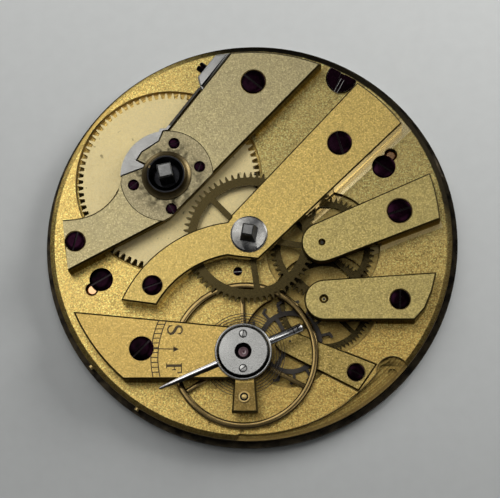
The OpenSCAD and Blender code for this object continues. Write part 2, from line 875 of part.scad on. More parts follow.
module fourth_wheel() {
    color([0.82, 0.66, 0.36])
        slab(fourth_wheel_z)
            translate(fourth_at)
                rotate(heading(fourth_at, escape_at))
                    spoked_wheel(fourth_teeth, fourth_module, 0.5, 0.9, 4, 0.45, 0.3, 45);
}

module escape_cock() {
    color([0.8, 0.65, 0.36])
        difference() {
            slab([escape_cock_bottom, plate_top])
                escape_cock_outline();
            post(escape_at, 0.1 + pivot_room, 0, 9);
            screw_hole(escape_screw_at, plate_top + 0.02, 0.88, 0.25, 0.4, 0);
        }
}

module escape_cock_screw() {
    color([0.12, 0.1, 0.16])
        slotted_screw([escape_screw_at[0], escape_screw_at[1], -25], plate_top + 0.02, 0.88, 0.25, 0.4, thread_end);
}

module escape_pinion() {
    color([0.6, 0.6, 0.62])
        at_plan(escape_at) {
            post([0, 0], 0.1, web_bottom + 0.02, plate_top - 0.05);
            post([0, 0], 0.22, fourth_wheel_z[1], escape_cock_bottom - end_shake);
            slab([fourth_sink[1] + 0.08, fourth_wheel_z[1] + 0.1])
                rotate(heading(escape_at, fourth_at) + 180 / escape_leaves)
                    pinion_leaves(escape_leaves, fourth_module);
        }
}

// Each tooth stands on a short stalk and has a wedge for a head
module escape_wheel() {
    color([0.55, 0.55, 0.58])
        at_plan(escape_at) {
            slab(escape_wheel_z)
                difference() {
                    union() {
                        circle(r = 3.3);
                        for (i = [0 : escape_teeth - 1])
                            rotate(12 + i * 360 / escape_teeth)
                                translate([3, -0.15])
                                    square([1.2, 0.3]);
                    }
                    difference() {
                        circle(r = 2.8);
                        circle(r = 0.7);
                        for (i = [0 : 2])
                            rotate(i * 120)
                                translate([0, -0.2])
                                    square([3, 0.4]);
                    }
                    circle(r = 0.22);
                }
            slab([escape_wheel_z[1] - sliver, escape_head_top])
                for (i = [0 : escape_teeth - 1])
                    rotate(12 + i * 360 / escape_teeth)
                        polygon([[3.95, 0.15], [4.2, -0.55], [4.45, -0.4], [4.2, 0.15]]);
        }
}

module balance_cock() {
    color([0.83, 0.68, 0.38])
        difference() {
            bar_with_foot() {
                balance_cock_outline();
                translate(balance_at)
                    circle(r = balance_radius + 0.45, $fn = 96);
            }
            post(balance_at, 0.55, jewel_bottom, 9);
            post(balance_at, 0.3, 0, 9);
            post(stud_at, 0.35, 0, 9);
            for (side = [-1, 1])
                post(balance_at + [0, side * cap_jewel_screws], 0.2 + screw_room, 0, 9);
            screw_hole(large_screws[3], bridge_head_top, large_head, bridge_head, large_shank, 0);
            for (at = [steady_pins_at[6], steady_pins_at[7]])
                post(at, pin_radius, 0, bar_bottom + 0.5);
        }
}

// The rim's section: a flat band with round sides
module balance_rim_section() {
    round_radius = (balance_rim_z[1] - balance_rim_z[0]) / 2;
    translate([balance_radius - rim_width + round_radius, balance_rim_z[0]]) {
        square([rim_width - 2 * round_radius, 2 * round_radius]);
        for (x = [0, rim_width - 2 * round_radius])
            translate([x, round_radius])
                circle(r = round_radius, $fn = 24);
    }
}

module balance_wheel() {
    color([0.85, 0.66, 0.4])
        at_plan(balance_at)
            difference() {
                union() {
                    rotate_extrude($fn = 96)
                        balance_rim_section();
                    slab(balance_arm_z) {
                        circle(r = 1);
                        for (i = [0 : 2])
                            rotate(92 + i * 120)
                                translate([0, -0.275])
                                    square([balance_radius - rim_width / 2, 0.55]);
                    }
                }
                post([0, 0], 0.4, 0, 9);
            }
}

// The hollow staff whose cut wall the escape wheel's teeth act on
module balance_cylinder() {
    color([0.6, 0.6, 0.62])
        at_plan(balance_at)
            difference() {
                union() {
                    post([0, 0], 0.1, web_bottom - 0.3, bar_top - sliver);
                    post([0, 0], 0.33, web_bottom + 0.35, balance_arm_z[0]);
                    post([0, 0], 0.55, plate_top + 0.1, balance_arm_z[0]);
                    post([0, 0], 0.4, balance_arm_z[0] - sliver, bar_bottom - 0.08);
                }
                difference() {
                    post([0, 0], 0.22, web_bottom + 0.5, plate_top - 0.1);
                    post([0, 0], 0.1, 0, escape_wheel_z[0] - 0.07);
                    post([0, 0], 0.1, escape_head_top + 0.12, 9);
                }
                rotate(heading(balance_at, escape_at))
                    translate([0.03, -1, escape_wheel_z[0] - 0.06])
                        cube([1, 2, escape_head_top - escape_wheel_z[0] + 0.17]);
            }
}

module hairspring_collet() {
    color([0.78, 0.62, 0.34])
        at_plan(balance_at)
            difference() {
                post([0, 0], 0.95, hairspring_z - 0.25, hairspring_z + 0.22);
                post([0, 0], 0.4, 0, 9);
            }
}

// One unbroken flat spiral of six-sided tube from the collet out to the stud
spring_inner = 0.99;
spring_rings = 24 * hairspring_loops;
spring_tube = hairspring_thick / 2;
function spring_radius(t) = spring_inner + (hairspring_outer - spring_inner) * t;
function spring_point(t) = let (turn = 271 - 360 * hairspring_loops * (1 - t))
    spring_radius(t) * [cos(turn), sin(turn)];
spring_path = [for (i = [0 : spring_rings]) spring_point(i / spring_rings)];
function spring_corner(i, k) = let (at = spring_path[i], out = at / norm(at), turn = 60 * k)
    [at[0] + out[0] * spring_tube * cos(turn), at[1] + out[1] * spring_tube * cos(turn), spring_tube * sin(turn)];
spring_points = [for (i = [0 : spring_rings]) for (k = [0 : 5]) spring_corner(i, k)];
spring_gap = min([for (i = [0 : spring_rings]) for (j = [i + 12 : 1 : spring_rings])
    norm(spring_path[i] - spring_path[j])]) - hairspring_thick;
echo(hairspring_least_gap = spring_gap);

module hairspring() {
    color([0.13, 0.14, 0.26])
        translate([balance_at[0], balance_at[1], hairspring_z])
            polyhedron(spring_points, concat(
                [for (k = [1 : 4]) [0, k, k + 1]],
                [for (k = [1 : 4]) [0, k + 1, k] + 6 * spring_rings * [1, 1, 1]],
                [for (i = [0 : spring_rings - 1]) for (k = [0 : 5])
                    [6 * i + k, 6 * i + 6 + k, 6 * i + (k + 1) % 6]],
                [for (i = [0 : spring_rings - 1]) for (k = [0 : 5])
                    [6 * i + (k + 1) % 6, 6 * i + 6 + k, 6 * i + 6 + (k + 1) % 6]]));
}

module hairspring_stud() {
    color([0.55, 0.55, 0.6])
        union() {
            post(stud_at, 0.35, hairspring_z + spring_tube, bar_top + sliver);
            post(stud_at, 0.62, bar_top, bar_top + 0.2);
        }
}

module upper_balance_jewel() {
    color([0.75, 0.25, 0.35])
        at_plan(balance_at)
            difference() {
                post([0, 0], 0.55, jewel_bottom, bar_top);
                post([0, 0], 0.1 + pivot_room, 0, 9);
            }
}

module endstone() {
    color([0.85, 0.4, 0.5])
        post(balance_at, 1.05, bar_top, bar_top + 0.25);
}

module endstone_cap() {
    color([0.75, 0.75, 0.77])
        difference() {
            at_plan(balance_at) {
                post([0, 0], endstone_cap_radius, bar_top, bar_top + 0.55);
                translate([0, 0, bar_top + 0.55 - sliver])
                    cylinder(r1 = endstone_cap_radius, r2 = endstone_cap_radius - 0.2, h = 0.2);
            }
            post(balance_at, 1.05, 0, bar_top + 0.25);
            post(balance_at, 0.86, 0, 9);
            for (side = [-1, 1])
                screw_hole(balance_at + [0, side * cap_jewel_screws], bar_top + 0.75, 0.4, 0.25, 0.2, 0);
        }
}

module endstone_cap_screws() {
    color([0.5, 0.5, 0.55])
        for (side = [-1, 1])
            slotted_screw([balance_at[0], balance_at[1] + side * cap_jewel_screws, 60 + side * 25],
                bar_top + 0.75, 0.4, 0.25, 0.2, bar_bottom + 0.1);
}

// A ring with a half-round tail and a half-round short arm
regulator_turn = 203.2;
module regulator() {
    color([0.72, 0.72, 0.75])
        at_plan(balance_at)
            difference() {
                union() {
                    slab(regulator_z)
                        circle(r = endstone_cap_radius + arbor_room + regulator_ring, $fn = 96);
                    rotate(regulator_turn) {
                        half_round(2.7, 7, 0.37, 0.29);
                        half_round(7 - sliver, regulator_tail, 0.29, 0.12);
                    }
                    rotate(regulator_turn - 180.3)
                        half_round(2.7, 6.45, 0.32, 0.46);
                }
                post([0, 0], endstone_cap_radius + arbor_room, 0, 9, $fn = 96);
                curb_pin_pair();
            }
}

// The upper half of a cone that lies along +X on the regulator's underside
module half_round(from, to, from_radius, to_radius) {
    intersection() {
        translate([from, 0, regulator_z[0]])
            rotate([0, 90, 0])
                cylinder(r1 = from_radius, r2 = to_radius, h = to - from, $fn = 32);
        translate([0, -1, regulator_z[0]])
            cube([12, 2, 2]);
    }
}

curb_radius = spring_radius(1 - (271 + 180 - regulator_turn) / 360 / hairspring_loops);
module curb_pin_pair() {
    rotate(regulator_turn - 180.3)
        for (side = [-1, 1])
            post([curb_radius + side * (hairspring_thick / 2 + 0.2), 0], 0.09, hairspring_z - 0.15, regulator_z[1]);
}

module curb_pins() {
    color([0.82, 0.66, 0.36])
        at_plan(balance_at)
            curb_pin_pair();
}

module chariot() {
    color([0.8, 0.65, 0.36])
        difference() {
            slab([web_bottom - 0.5, web_bottom])
                union() {
                    translate(balance_at)
                        circle(r = 1.6);
                    translate(balance_at + [-6.3, -1.3])
                        square([6, 2.6]);
                }
            post(balance_at, 0.5, web_bottom - 0.35, 9);
            post(balance_at, 0.3, 0, 9);
            post(chariot_screw_at, 0.4 + screw_room, 0, 9);
            post(chariot_screw_at, 0.8 + screw_room, 0, web_bottom - 0.25);
        }
}

module chariot_screw() {
    color([0.12, 0.1, 0.16])
        translate([0, 0, web_bottom + 1.1])
            mirror([0, 0, 1])
                slotted_screw([chariot_screw_at[0], chariot_screw_at[1], 30], 1.6, 0.8, 0.25, 0.4, 0);
}

module lower_balance_jewel() {
    color([0.75, 0.25, 0.35])
        at_plan(balance_at)
            difference() {
                post([0, 0], 0.5, web_bottom - 0.35, web_bottom);
                post([0, 0], 0.1 + pivot_room, 0, 9);
            }
}

module large_bridge_screws() {
    color([0.12, 0.1, 0.16])
        for (at = large_screws)
            slotted_screw(at, bridge_head_top, large_head, bridge_head, large_shank, thread_end);
}

module small_bridge_screws() {
    color([0.12, 0.1, 0.16])
        for (at = small_screws)
            slotted_screw(at, bridge_head_top, small_head, bridge_head, small_shank, thread_end);
}

module steady_pins() {
    color([0.85, 0.7, 0.4])
        for (at = steady_pins_at)
            post(at, pin_radius, pin_end, bar_bottom + 0.5);
}

dial();
dial_feet();
dial_screws();
main_plate();
rim_pins();
case_screw();
plate_screw();
barrel_bridge();
ratchet_cap();
ratchet_cap_screws();
barrel_drum();
barrel_cover();
mainspring();
barrel_arbor();
ratchet_wheel();
winding_collar();
click();
click_foot();
click_screw();
centre_bridge();
centre_pinion();
centre_wheel();
setting_arbor();
cannon_pinion();
minute_wheel();
minute_pinion();
minute_post();
hour_wheel();
third_cock();
third_pinion();
third_wheel();
fourth_cock();
fourth_pinion();
fourth_wheel();
escape_cock();
escape_cock_screw();
escape_pinion();
escape_wheel();
balance_cock();
balance_wheel();
balance_cylinder();
hairspring_collet();
hairspring();
hairspring_stud();
upper_balance_jewel();
endstone();
endstone_cap();
endstone_cap_screws();
regulator();
curb_pins();
chariot();
chariot_screw();
lower_balance_jewel();
large_bridge_screws();
small_bridge_screws();
steady_pins();
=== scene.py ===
# A key-wound pocket watch movement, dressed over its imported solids:
# gilding, steel, screws, teeth, spring and dial
import json
import math

import bmesh
import bpy
from mathutils import Matrix, Vector
from mathutils.geometry import convex_hull_2d

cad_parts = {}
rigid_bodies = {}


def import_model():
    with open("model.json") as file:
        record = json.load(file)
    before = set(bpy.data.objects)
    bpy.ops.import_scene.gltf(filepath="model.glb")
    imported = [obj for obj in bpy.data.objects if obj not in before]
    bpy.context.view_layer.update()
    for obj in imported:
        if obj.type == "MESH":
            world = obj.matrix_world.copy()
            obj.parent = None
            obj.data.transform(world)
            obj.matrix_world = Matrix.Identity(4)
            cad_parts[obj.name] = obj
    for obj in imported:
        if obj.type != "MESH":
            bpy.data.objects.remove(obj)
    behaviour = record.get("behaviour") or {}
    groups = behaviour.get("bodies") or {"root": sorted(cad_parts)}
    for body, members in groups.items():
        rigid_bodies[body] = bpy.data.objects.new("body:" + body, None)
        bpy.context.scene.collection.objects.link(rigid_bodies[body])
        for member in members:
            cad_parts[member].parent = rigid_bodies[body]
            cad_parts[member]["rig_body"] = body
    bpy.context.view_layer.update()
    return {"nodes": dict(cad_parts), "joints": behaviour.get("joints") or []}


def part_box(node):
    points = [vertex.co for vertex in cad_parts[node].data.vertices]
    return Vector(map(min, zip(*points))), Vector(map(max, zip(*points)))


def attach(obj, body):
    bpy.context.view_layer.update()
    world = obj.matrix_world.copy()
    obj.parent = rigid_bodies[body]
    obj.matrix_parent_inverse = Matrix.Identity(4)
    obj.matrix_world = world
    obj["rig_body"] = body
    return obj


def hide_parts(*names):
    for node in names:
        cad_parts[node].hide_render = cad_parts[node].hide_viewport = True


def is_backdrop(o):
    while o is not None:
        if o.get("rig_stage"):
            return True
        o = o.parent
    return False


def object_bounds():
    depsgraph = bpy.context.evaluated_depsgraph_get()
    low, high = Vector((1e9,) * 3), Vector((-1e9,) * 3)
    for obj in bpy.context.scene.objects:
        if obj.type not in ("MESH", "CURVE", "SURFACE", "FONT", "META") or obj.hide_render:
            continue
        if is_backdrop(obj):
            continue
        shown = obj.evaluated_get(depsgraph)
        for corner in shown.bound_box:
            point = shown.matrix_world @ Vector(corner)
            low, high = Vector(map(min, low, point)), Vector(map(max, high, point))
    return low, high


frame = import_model()
cadNodes = frame["nodes"]
millimetre = 0.001
fullTurn = 2 * math.pi
axisOf = {joint["name"]: Vector(joint["pos_m"]) / millimetre for joint in frame["joints"]}
barrelAxis = axisOf["barrel_spin"]
balanceAxis = axisOf["balance_swing"]
print("frame loaded:", len(cadNodes), "nodes")


# Levels and radii are read from the solids, in millimetres
def boxOf(node):
    low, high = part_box(node)
    return low / millimetre, high / millimetre


def reachOf(node, axis):
    return max((v.co.xy / millimetre - axis.xy).length for v in cadNodes[node].data.vertices)


barTop = boxOf("centre_bridge")[1].z
plateTop = boxOf("main_plate")[1].z


# Node helpers for materials and for geometry trees
def fill(tree, slot, value):
    if isinstance(value, bpy.types.NodeSocket):
        tree.links.new(value, slot)
    else:
        slot.default_value = value


def put(tree, kind, values=None, **settings):
    node = tree.nodes.new(kind)
    for name, value in settings.items():
        setattr(node, name, value)
    for name, value in (values or {}).items():
        fill(tree, node.inputs[name], value)
    return node


def calc(tree, operation, *terms):
    node = put(tree, "ShaderNodeMath", operation=operation)
    for slot, term in zip(node.inputs, terms):
        fill(tree, slot, term)
    return node.outputs[0]


def total(tree, first, *others):
    for other in others:
        first = calc(tree, "ADD", first, other)
    return first


def product(tree, first, *others):
    for other in others:
        first = calc(tree, "MULTIPLY", first, other)
    return first


def vectorCalc(tree, operation, *terms):
    node = put(tree, "ShaderNodeVectorMath", dict(enumerate(terms)), operation=operation)
    return node.outputs["Value" if operation in ("DOT_PRODUCT", "LENGTH") else "Vector"]


def coordinate(tree, place, axis):
    return put(tree, "ShaderNodeSeparateXYZ", {0: place}).outputs[axis]


# The flat way from an upright axis, and its length
def awayFrom(tree, place, axis):
    flat = vectorCalc(tree, "MULTIPLY", vectorCalc(tree, "SUBTRACT", place, axis * millimetre), (1, 1, 0))
    return flat, vectorCalc(tree, "LENGTH", flat)


def ranged(tree, value, low, high, least=0.0, most=1.0):
    node = put(tree, "ShaderNodeMapRange", {"Value": value, "From Min": low, "From Max": high,
                                            "To Min": least, "To Max": most})
    return node.outputs["Result"]


# The next three take their limits in millimetres
def rangedAt(tree, length, low, high, most=1.0):
    return ranged(tree, length, low * millimetre, high * millimetre, 0.0, most)


def below(tree, length, limit):
    return calc(tree, "LESS_THAN", length, limit * millimetre)


def above(tree, length, limit):
    return calc(tree, "GREATER_THAN", length, limit * millimetre)


def startMaterial(name, **fixed):
    material = bpy.data.materials.new(name)
    material.use_nodes = True
    tree = material.node_tree
    tree.nodes.clear()
    output = tree.nodes.new("ShaderNodeOutputMaterial")
    shader = put(tree, "ShaderNodeBsdfPrincipled", fixed)
    tree.links.new(shader.outputs["BSDF"], output.inputs["Surface"])
    place = tree.nodes.new("ShaderNodeTexCoord").outputs["Object"]
    return material, tree, shader, place


# A finished material is opened again, to add to its colour
def reopened(material):
    tree = material.node_tree
    shader = next(n for n in tree.nodes if n.type == "BSDF_PRINCIPLED")
    place = next(n for n in tree.nodes if n.type == "TEX_COORD").outputs["Object"]
    return tree, shader, place, shader.inputs["Base Color"].links[0].from_socket


def feed(tree, shader, colour, roughness=None, normal=None):
    for name, value in (("Base Color", colour), ("Roughness", roughness), ("Normal", normal)):
        if value is not None:
            fill(tree, shader.inputs[name], value)


def grainOf(tree, place, perMetre, detail=2.0):
    node = put(tree, "ShaderNodeTexNoise", {"Vector": place, "Scale": perMetre, "Detail": detail})
    return node.outputs["Fac"]


def rampOf(tree, factor, low, high, dark, pale):
    ramp = put(tree, "ShaderNodeValToRGB", {"Fac": factor})
    for stop, position, colour in zip(ramp.color_ramp.elements, (low, high), (dark, pale)):
        stop.position = position
        stop.color = (*colour, 1)
    return ramp.outputs["Color"]


def maskOf(tree, factor, low, high, strength=1.0):
    return rampOf(tree, factor, low, high, (0, 0, 0), (strength, strength, strength))


# Noise lies mostly between these two values, and is spread over a wanted range
noiseSpan = (0.3, 0.7)


def spread(tree, factor, low, high):
    return ranged(tree, factor, *noiseSpan, low, high)


def clouded(tree, factor, dark, pale):
    return rampOf(tree, factor, *noiseSpan, dark, pale)


def mixOf(tree, factor, first, second, blend="MIX"):
    node = put(tree, "ShaderNodeMix", data_type="RGBA", blend_type=blend)
    slots = {slot.identifier: slot for slot in node.inputs}
    fill(tree, slots["Factor_Float"], factor)
    for name, colour in (("A_Color", first), ("B_Color", second)):
        fill(tree, slots[name], (*colour, 1) if isinstance(colour, tuple) else colour)
    return next(s for s in node.outputs if s.identifier == "Result_Color")


def bumpOf(tree, height, distance, strength):
    node = put(tree, "ShaderNodeBump", {"Height": height, "Distance": distance, "Strength": strength})
    return node.outputs["Normal"]


def shade(colour, share, lift=0.0):
    return tuple(min(0.99, c * share + lift) for c in colour)


def tinted(colour, tint):
    return tuple(c * t for c, t in zip(colour, tint))


# Frosted gilding: a matt grain of fine pits with glints painted in as painted highlights,
# and slow patches where the gold has worn thin
frosting = {"grain": 6800, "pits": 3000, "patches": 230, "specks": 1500, "glints": 5300, "depth": 0.000026,
            "grainShare": 0.65, "tone": (0.36, 0.64), "glintFrom": (0.60, 0.70), "glintGain": (1.55, 0.06),
            "worn": 0.4, "wornTint": (0.8, 0.82, 0.95), "speckFrom": (0.66, 0.74), "speckShade": 0.3,
            "roughSpan": 0.12}


def frostedGilt(name, gold, speck=0.25, contrast=0.42, bump=1.0, rough=0.36, glint=0.55):
    material, tree, shader, place = startMaterial(name, Metallic=1.0)
    grain = grainOf(tree, place, frosting["grain"], 1)
    pits = grainOf(tree, place, frosting["pits"], 2)
    patches = grainOf(tree, place, frosting["patches"], 4)
    share = frosting["grainShare"]
    tone = total(tree, product(tree, grain, share), product(tree, pits, 1 - share))
    colour = rampOf(tree, tone, *frosting["tone"], shade(gold, 1 - contrast), shade(gold, 1 + contrast / 2))
    glints = maskOf(tree, grainOf(tree, place, frosting["glints"], 0), *frosting["glintFrom"], glint)
    colour = mixOf(tree, glints, colour, shade(gold, *frosting["glintGain"]))
    worn = spread(tree, patches, 0.0, frosting["worn"])
    colour = mixOf(tree, worn, colour, tinted(gold, frosting["wornTint"]))
    specks = maskOf(tree, grainOf(tree, place, frosting["specks"], 4), *frosting["speckFrom"], speck)
    colour = mixOf(tree, specks, colour, shade(gold, frosting["speckShade"]))
    feed(tree, shader, colour, spread(tree, grain, rough, rough + frosting["roughSpan"]),
         bumpOf(tree, tone, frosting["depth"], bump))
    return material


polish = {"stretch": (1, 7, 1), "slant": (0, 0, 0.7), "lines": 2600, "clouds": 420, "depth": 0.000003,
          "roughGain": 1.7}


def polishedMetal(name, pale, deep, rough, scratches=0.1):
    material, tree, shader, place = startMaterial(name, Metallic=1.0)
    stretched = put(tree, "ShaderNodeMapping", {"Vector": place, "Scale": polish["stretch"],
                                                "Rotation": polish["slant"]}).outputs["Vector"]
    lines = grainOf(tree, stretched, polish["lines"], 3)
    clouds = grainOf(tree, place, polish["clouds"], 3)
    feed(tree, shader, clouded(tree, clouds, deep, pale),
         spread(tree, lines, rough, rough * polish["roughGain"]),
         bumpOf(tree, lines, polish["depth"], scratches))
    return material


# Turned metal: rings about the piece's own axis
turning = {"rings": 2300, "wander": 1.5, "grain": 3600, "ringShare": 0.35, "tone": (0.25, 0.75),
           "roughGain": 1.4, "depth": 0.000003, "bump": 0.3}


def turnedMetal(name, axis, pale, deep, rough):
    material, tree, shader, place = startMaterial(name, Metallic=1.0)
    centred = vectorCalc(tree, "SUBTRACT", place, (axis.x * millimetre, axis.y * millimetre, 0))
    rings = put(tree, "ShaderNodeTexWave", {"Vector": centred, "Scale": turning["rings"],
                                            "Distortion": turning["wander"], "Detail": 2},
                wave_type="RINGS", rings_direction="Z").outputs["Fac"]
    grain = grainOf(tree, place, turning["grain"], 3)
    share = turning["ringShare"]
    tone = total(tree, product(tree, rings, share), product(tree, grain, 1 - share))
    feed(tree, shader, rampOf(tree, tone, *turning["tone"], deep, pale),
         spread(tree, grain, rough, rough * turning["roughGain"]),
         bumpOf(tree, tone, turning["depth"], turning["bump"]))
    return material


# Steel turned on its face: the two bright wedges that the lathe's rings spread from each light
# are painted into its colour by angle about the axis, as painted highlights
wedges = {"start": 2.4, "share": 0.5, "grain": 900, "fineGrain": 3000, "rough": (0.22, 0.34),
          "deep": (0.07, 0.07, 0.07), "pale": (0.34, 0.335, 0.32)}


def sectoredSteel(name, axis):
    material, tree, shader, place = startMaterial(name, Metallic=1.0)
    centred = vectorCalc(tree, "SUBTRACT", place, axis * millimetre)
    around = put(tree, "ShaderNodeTexGradient", {"Vector": centred}, gradient_type="RADIAL").outputs["Fac"]
    wave = calc(tree, "SINE", total(tree, product(tree, around, 2 * fullTurn), wedges["start"]))
    uneven = total(tree, product(tree, wave, wedges["share"]), grainOf(tree, place, wedges["grain"], 3))
    feed(tree, shader, rampOf(tree, uneven, 0.0, 1.0, wedges["deep"], wedges["pale"]),
         spread(tree, grainOf(tree, place, wedges["fineGrain"], 2), *wedges["rough"]))
    return material


blueing = {"clouds": 330, "tone": (0.35, 0.65), "deep": (0.001, 0.0008, 0.001), "pale": (0.012, 0.003, 0.008),
           "lines": 4200, "rough": (0.16, 0.3), "depth": 0.000002, "bump": 0.15}


def bluedSteel(name):
    material, tree, shader, place = startMaterial(name, Metallic=1.0)
    clouds = grainOf(tree, place, blueing["clouds"], 3)
    lines = grainOf(tree, place, blueing["lines"], 2)
    feed(tree, shader, rampOf(tree, clouds, *blueing["tone"], blueing["deep"], blueing["pale"]),
         spread(tree, lines, *blueing["rough"]), bumpOf(tree, lines, blueing["depth"], blueing["bump"]))
    return material


# Beside two of the bars the plate keeps the polish of the cut that seated them, and its colour there is
# lifted to a pale bright gold as a painted highlight: start, end, half width and strength of each strip
polishedHighlightStrips = (((6.0, 2.3), (16.3, 12.1), 0.85, 1.0), ((12.4, -1.05), (19.7, 1.7), 0.7, 0.5))
stripLook = {"gold": (0.92, 0.76, 0.40), "rough": 0.2, "flatter": 0.9, "edge": 0.12, "grain": 500,
             "wander": 0.0002}


def stripMask(tree, place, start, end, width):
    run = Vector(end) - Vector(start)
    along = run.normalized()
    fromStart = vectorCalc(tree, "SUBTRACT", place, (start[0] * millimetre, start[1] * millimetre, 0))
    far = vectorCalc(tree, "DOT_PRODUCT", fromStart, (along.x, along.y, 0))
    aside = vectorCalc(tree, "DOT_PRODUCT", fromStart, (along.y, -along.x, 0))
    ragged = total(tree, aside, product(tree, grainOf(tree, place, stripLook["grain"], 3), stripLook["wander"]))
    inside = rangedAt(tree, ragged, width + stripLook["edge"], width)
    return product(tree, inside, above(tree, aside, -width), above(tree, far, 0), below(tree, far, run.length))


def withHighlightStrips(tree, shader, place, gilt):
    strips = 0.0
    for start, end, width, strength in polishedHighlightStrips:
        mask = product(tree, stripMask(tree, place, start, end, width), strength)
        strips = calc(tree, "MAXIMUM", mask, strips)
    matt = shader.inputs["Roughness"].links[0].from_socket
    rough = put(tree, "ShaderNodeMix", {"Factor": strips, "A": matt, "B": stripLook["rough"]},
                data_type="FLOAT")
    tree.links.new(rough.outputs["Result"], shader.inputs["Roughness"])
    bump = next(n for n in tree.nodes if n.type == "BUMP")
    flatter = calc(tree, "SUBTRACT", 1.0, product(tree, strips, stripLook["flatter"]))
    tree.links.new(flatter, bump.inputs["Strength"])
    return mixOf(tree, strips, gilt, stripLook["gold"])


# The plate's colour carries painted shade: darker to the right, greyer to the upper right, and darker in its
# sinks.
# Round the barrel its sink floor is painted gold above the axis as painted light, and near black in the tooth
# gaps below it as painted shadow.
# Ranges are in millimetres, levels down from the plate's top and rims in from its radius.
plateLook = {
    "rightShade": (-14, 2), "greyed": (-12, 6), "warmTint": (0.74, 0.70, 0.66), "greyTint": (0.60, 0.65, 0.78),
    "sink": (0.12, 0.6, 0.5), "sinkShade": 0.3, "barrelLit": (1, 6), "barrelLevel": 0.1, "barrelMargin": 0.8,
    "gapInset": 0.02, "gapShade": 0.04,
}


# Painted shade: the gilt darkens toward the right, its tint greying toward the top
def shadedToRight(tree, place, gilt):
    rightward = rangedAt(tree, coordinate(tree, place, "X"), *plateLook["rightShade"])
    upward = rangedAt(tree, coordinate(tree, place, "Y"), *plateLook["greyed"])
    tint = mixOf(tree, upward, plateLook["warmTint"], plateLook["greyTint"])
    return mixOf(tree, rightward, gilt, tint, "MULTIPLY")


# Painted shade: the plate darkens with depth in its sinks. Round the barrel, painted light turns the sink floor
# gold above the axis, and painted shadow turns the tooth gaps below it near black.
def withSinkShade(tree, place, height, gilt, gold):
    start, end, share = plateLook["sink"]
    sunk = rangedAt(tree, height, plateTop - start, plateTop - end, share)
    gilt = mixOf(tree, sunk, gilt, shade(gold, plateLook["sinkShade"]))
    flat, away = awayFrom(tree, place, barrelAxis)
    lit = rangedAt(tree, coordinate(tree, flat, "Y"), *plateLook["barrelLit"])
    low = below(tree, height, plateTop - plateLook["barrelLevel"])
    near = product(tree, below(tree, away, barrelReach + plateLook["barrelMargin"]), low)
    under = product(tree, below(tree, away, barrelReach - plateLook["gapInset"]), low)
    gilt = mixOf(tree, product(tree, near, lit), gilt, gold)
    return mixOf(tree, under, gilt, mixOf(tree, lit, shade(gold, plateLook["gapShade"]), gold))


# At its rim the plate shows turned rings on the step, a brown edge, a black one to the upper right,
# and a flange that is oxidised almost black. Facings are a heading and the range along it.
rimLook = {
    "stepFrom": 16.5, "stepLevel": 0.25, "rings": 5200, "ringTone": (0.32, 0.66), "ringDeep": (0.35, 0.33, 0.30),
    "grain": 1200, "wander": 0.00012, "brown": (0.55, 0.35, 0.55), "brownTint": (0.13, 0.125, 0.16),
    "brownFacing": ((0.8, -0.6, 0), -17, -9), "black": (0.64, 0.52, 0.97), "blackColour": (0.006, 0.005, 0.004),
    "blackFacing": ((0.6, 0.8, 0), 8, 15), "flangeInset": 0.02, "flangeRise": 0.9, "flangeGrain": 900,
    "flangeTone": (0.35, 0.8), "flangeDeep": (0.008, 0.007, 0.006), "flangePale": (0.05, 0.04, 0.025),
}


def withRim(tree, place, height, gilt, gold, flangeTop, plateRadius):
    flat, away = awayFrom(tree, place, Vector((0, 0, 0)))
    uneven = calc(tree, "SUBTRACT", grainOf(tree, place, rimLook["grain"], 3), 0.5)
    ragged = product(tree, uneven, rimLook["wander"])
    raggedAway = total(tree, away, ragged)

    def rimMask(edge, facing):
        outer, inner, share = rimLook[edge]
        heading, start, end = rimLook[facing]
        toward = rangedAt(tree, vectorCalc(tree, "DOT_PRODUCT", flat, heading), start, end)
        atRim = rangedAt(tree, raggedAway, plateRadius - outer, plateRadius - inner, share)
        return product(tree, atRim, toward)

    rings = grainOf(tree, put(tree, "ShaderNodeCombineXYZ", {"X": away}).outputs[0], rimLook["rings"], 3)
    onStep = product(tree, above(tree, away, rimLook["stepFrom"]),
                     below(tree, height, plateTop - rimLook["stepLevel"]))
    turned = rampOf(tree, rings, *rimLook["ringTone"], rimLook["ringDeep"], (1, 1, 1))
    gilt = mixOf(tree, onStep, gilt, turned, "MULTIPLY")
    gilt = mixOf(tree, rimMask("brown", "brownFacing"), gilt, tinted(gold, rimLook["brownTint"]))
    gilt = mixOf(tree, rimMask("black", "blackFacing"), gilt, rimLook["blackColour"])
    onFlange = product(tree, above(tree, raggedAway, plateRadius - rimLook["flangeInset"]),
                       below(tree, total(tree, height, ragged), flangeTop + rimLook["flangeRise"]))
    oxide = rampOf(tree, grainOf(tree, place, rimLook["flangeGrain"], 3), *rimLook["flangeTone"],
                   rimLook["flangeDeep"], rimLook["flangePale"])
    return mixOf(tree, onFlange, gilt, oxide)


def plateGilt(name, gold, flangeTop, plateRadius):
    material = frostedGilt(name, gold, speck=0.3, contrast=0.62, glint=0.95)
    tree, shader, place, gilt = reopened(material)
    height = coordinate(tree, place, "Z")
    gilt = withHighlightStrips(tree, shader, place, shadedToRight(tree, place, gilt))
    gilt = withSinkShade(tree, place, height, gilt, gold)
    feed(tree, shader, withRim(tree, place, height, gilt, gold, flangeTop, plateRadius))
    return material


# Old oil and dirt gathered about an axis, between two radii
dirtLook = {"grain": 1700, "crumbs": (0.42, 0.66), "gain": 1.4, "shade": 0.1}


def dirtyGilt(name, gold, axis, inner, outer):
    material = frostedGilt(name, gold, speck=0.9)
    tree, shader, place, gilt = reopened(material)
    near = rangedAt(tree, awayFrom(tree, place, axis)[1], outer, inner)
    crumbs = maskOf(tree, grainOf(tree, place, dirtLook["grain"], 5), *dirtLook["crumbs"])
    dirt = product(tree, near, crumbs, dirtLook["gain"])
    feed(tree, shader, mixOf(tree, dirt, gilt, shade(gold, dirtLook["shade"])))
    return material


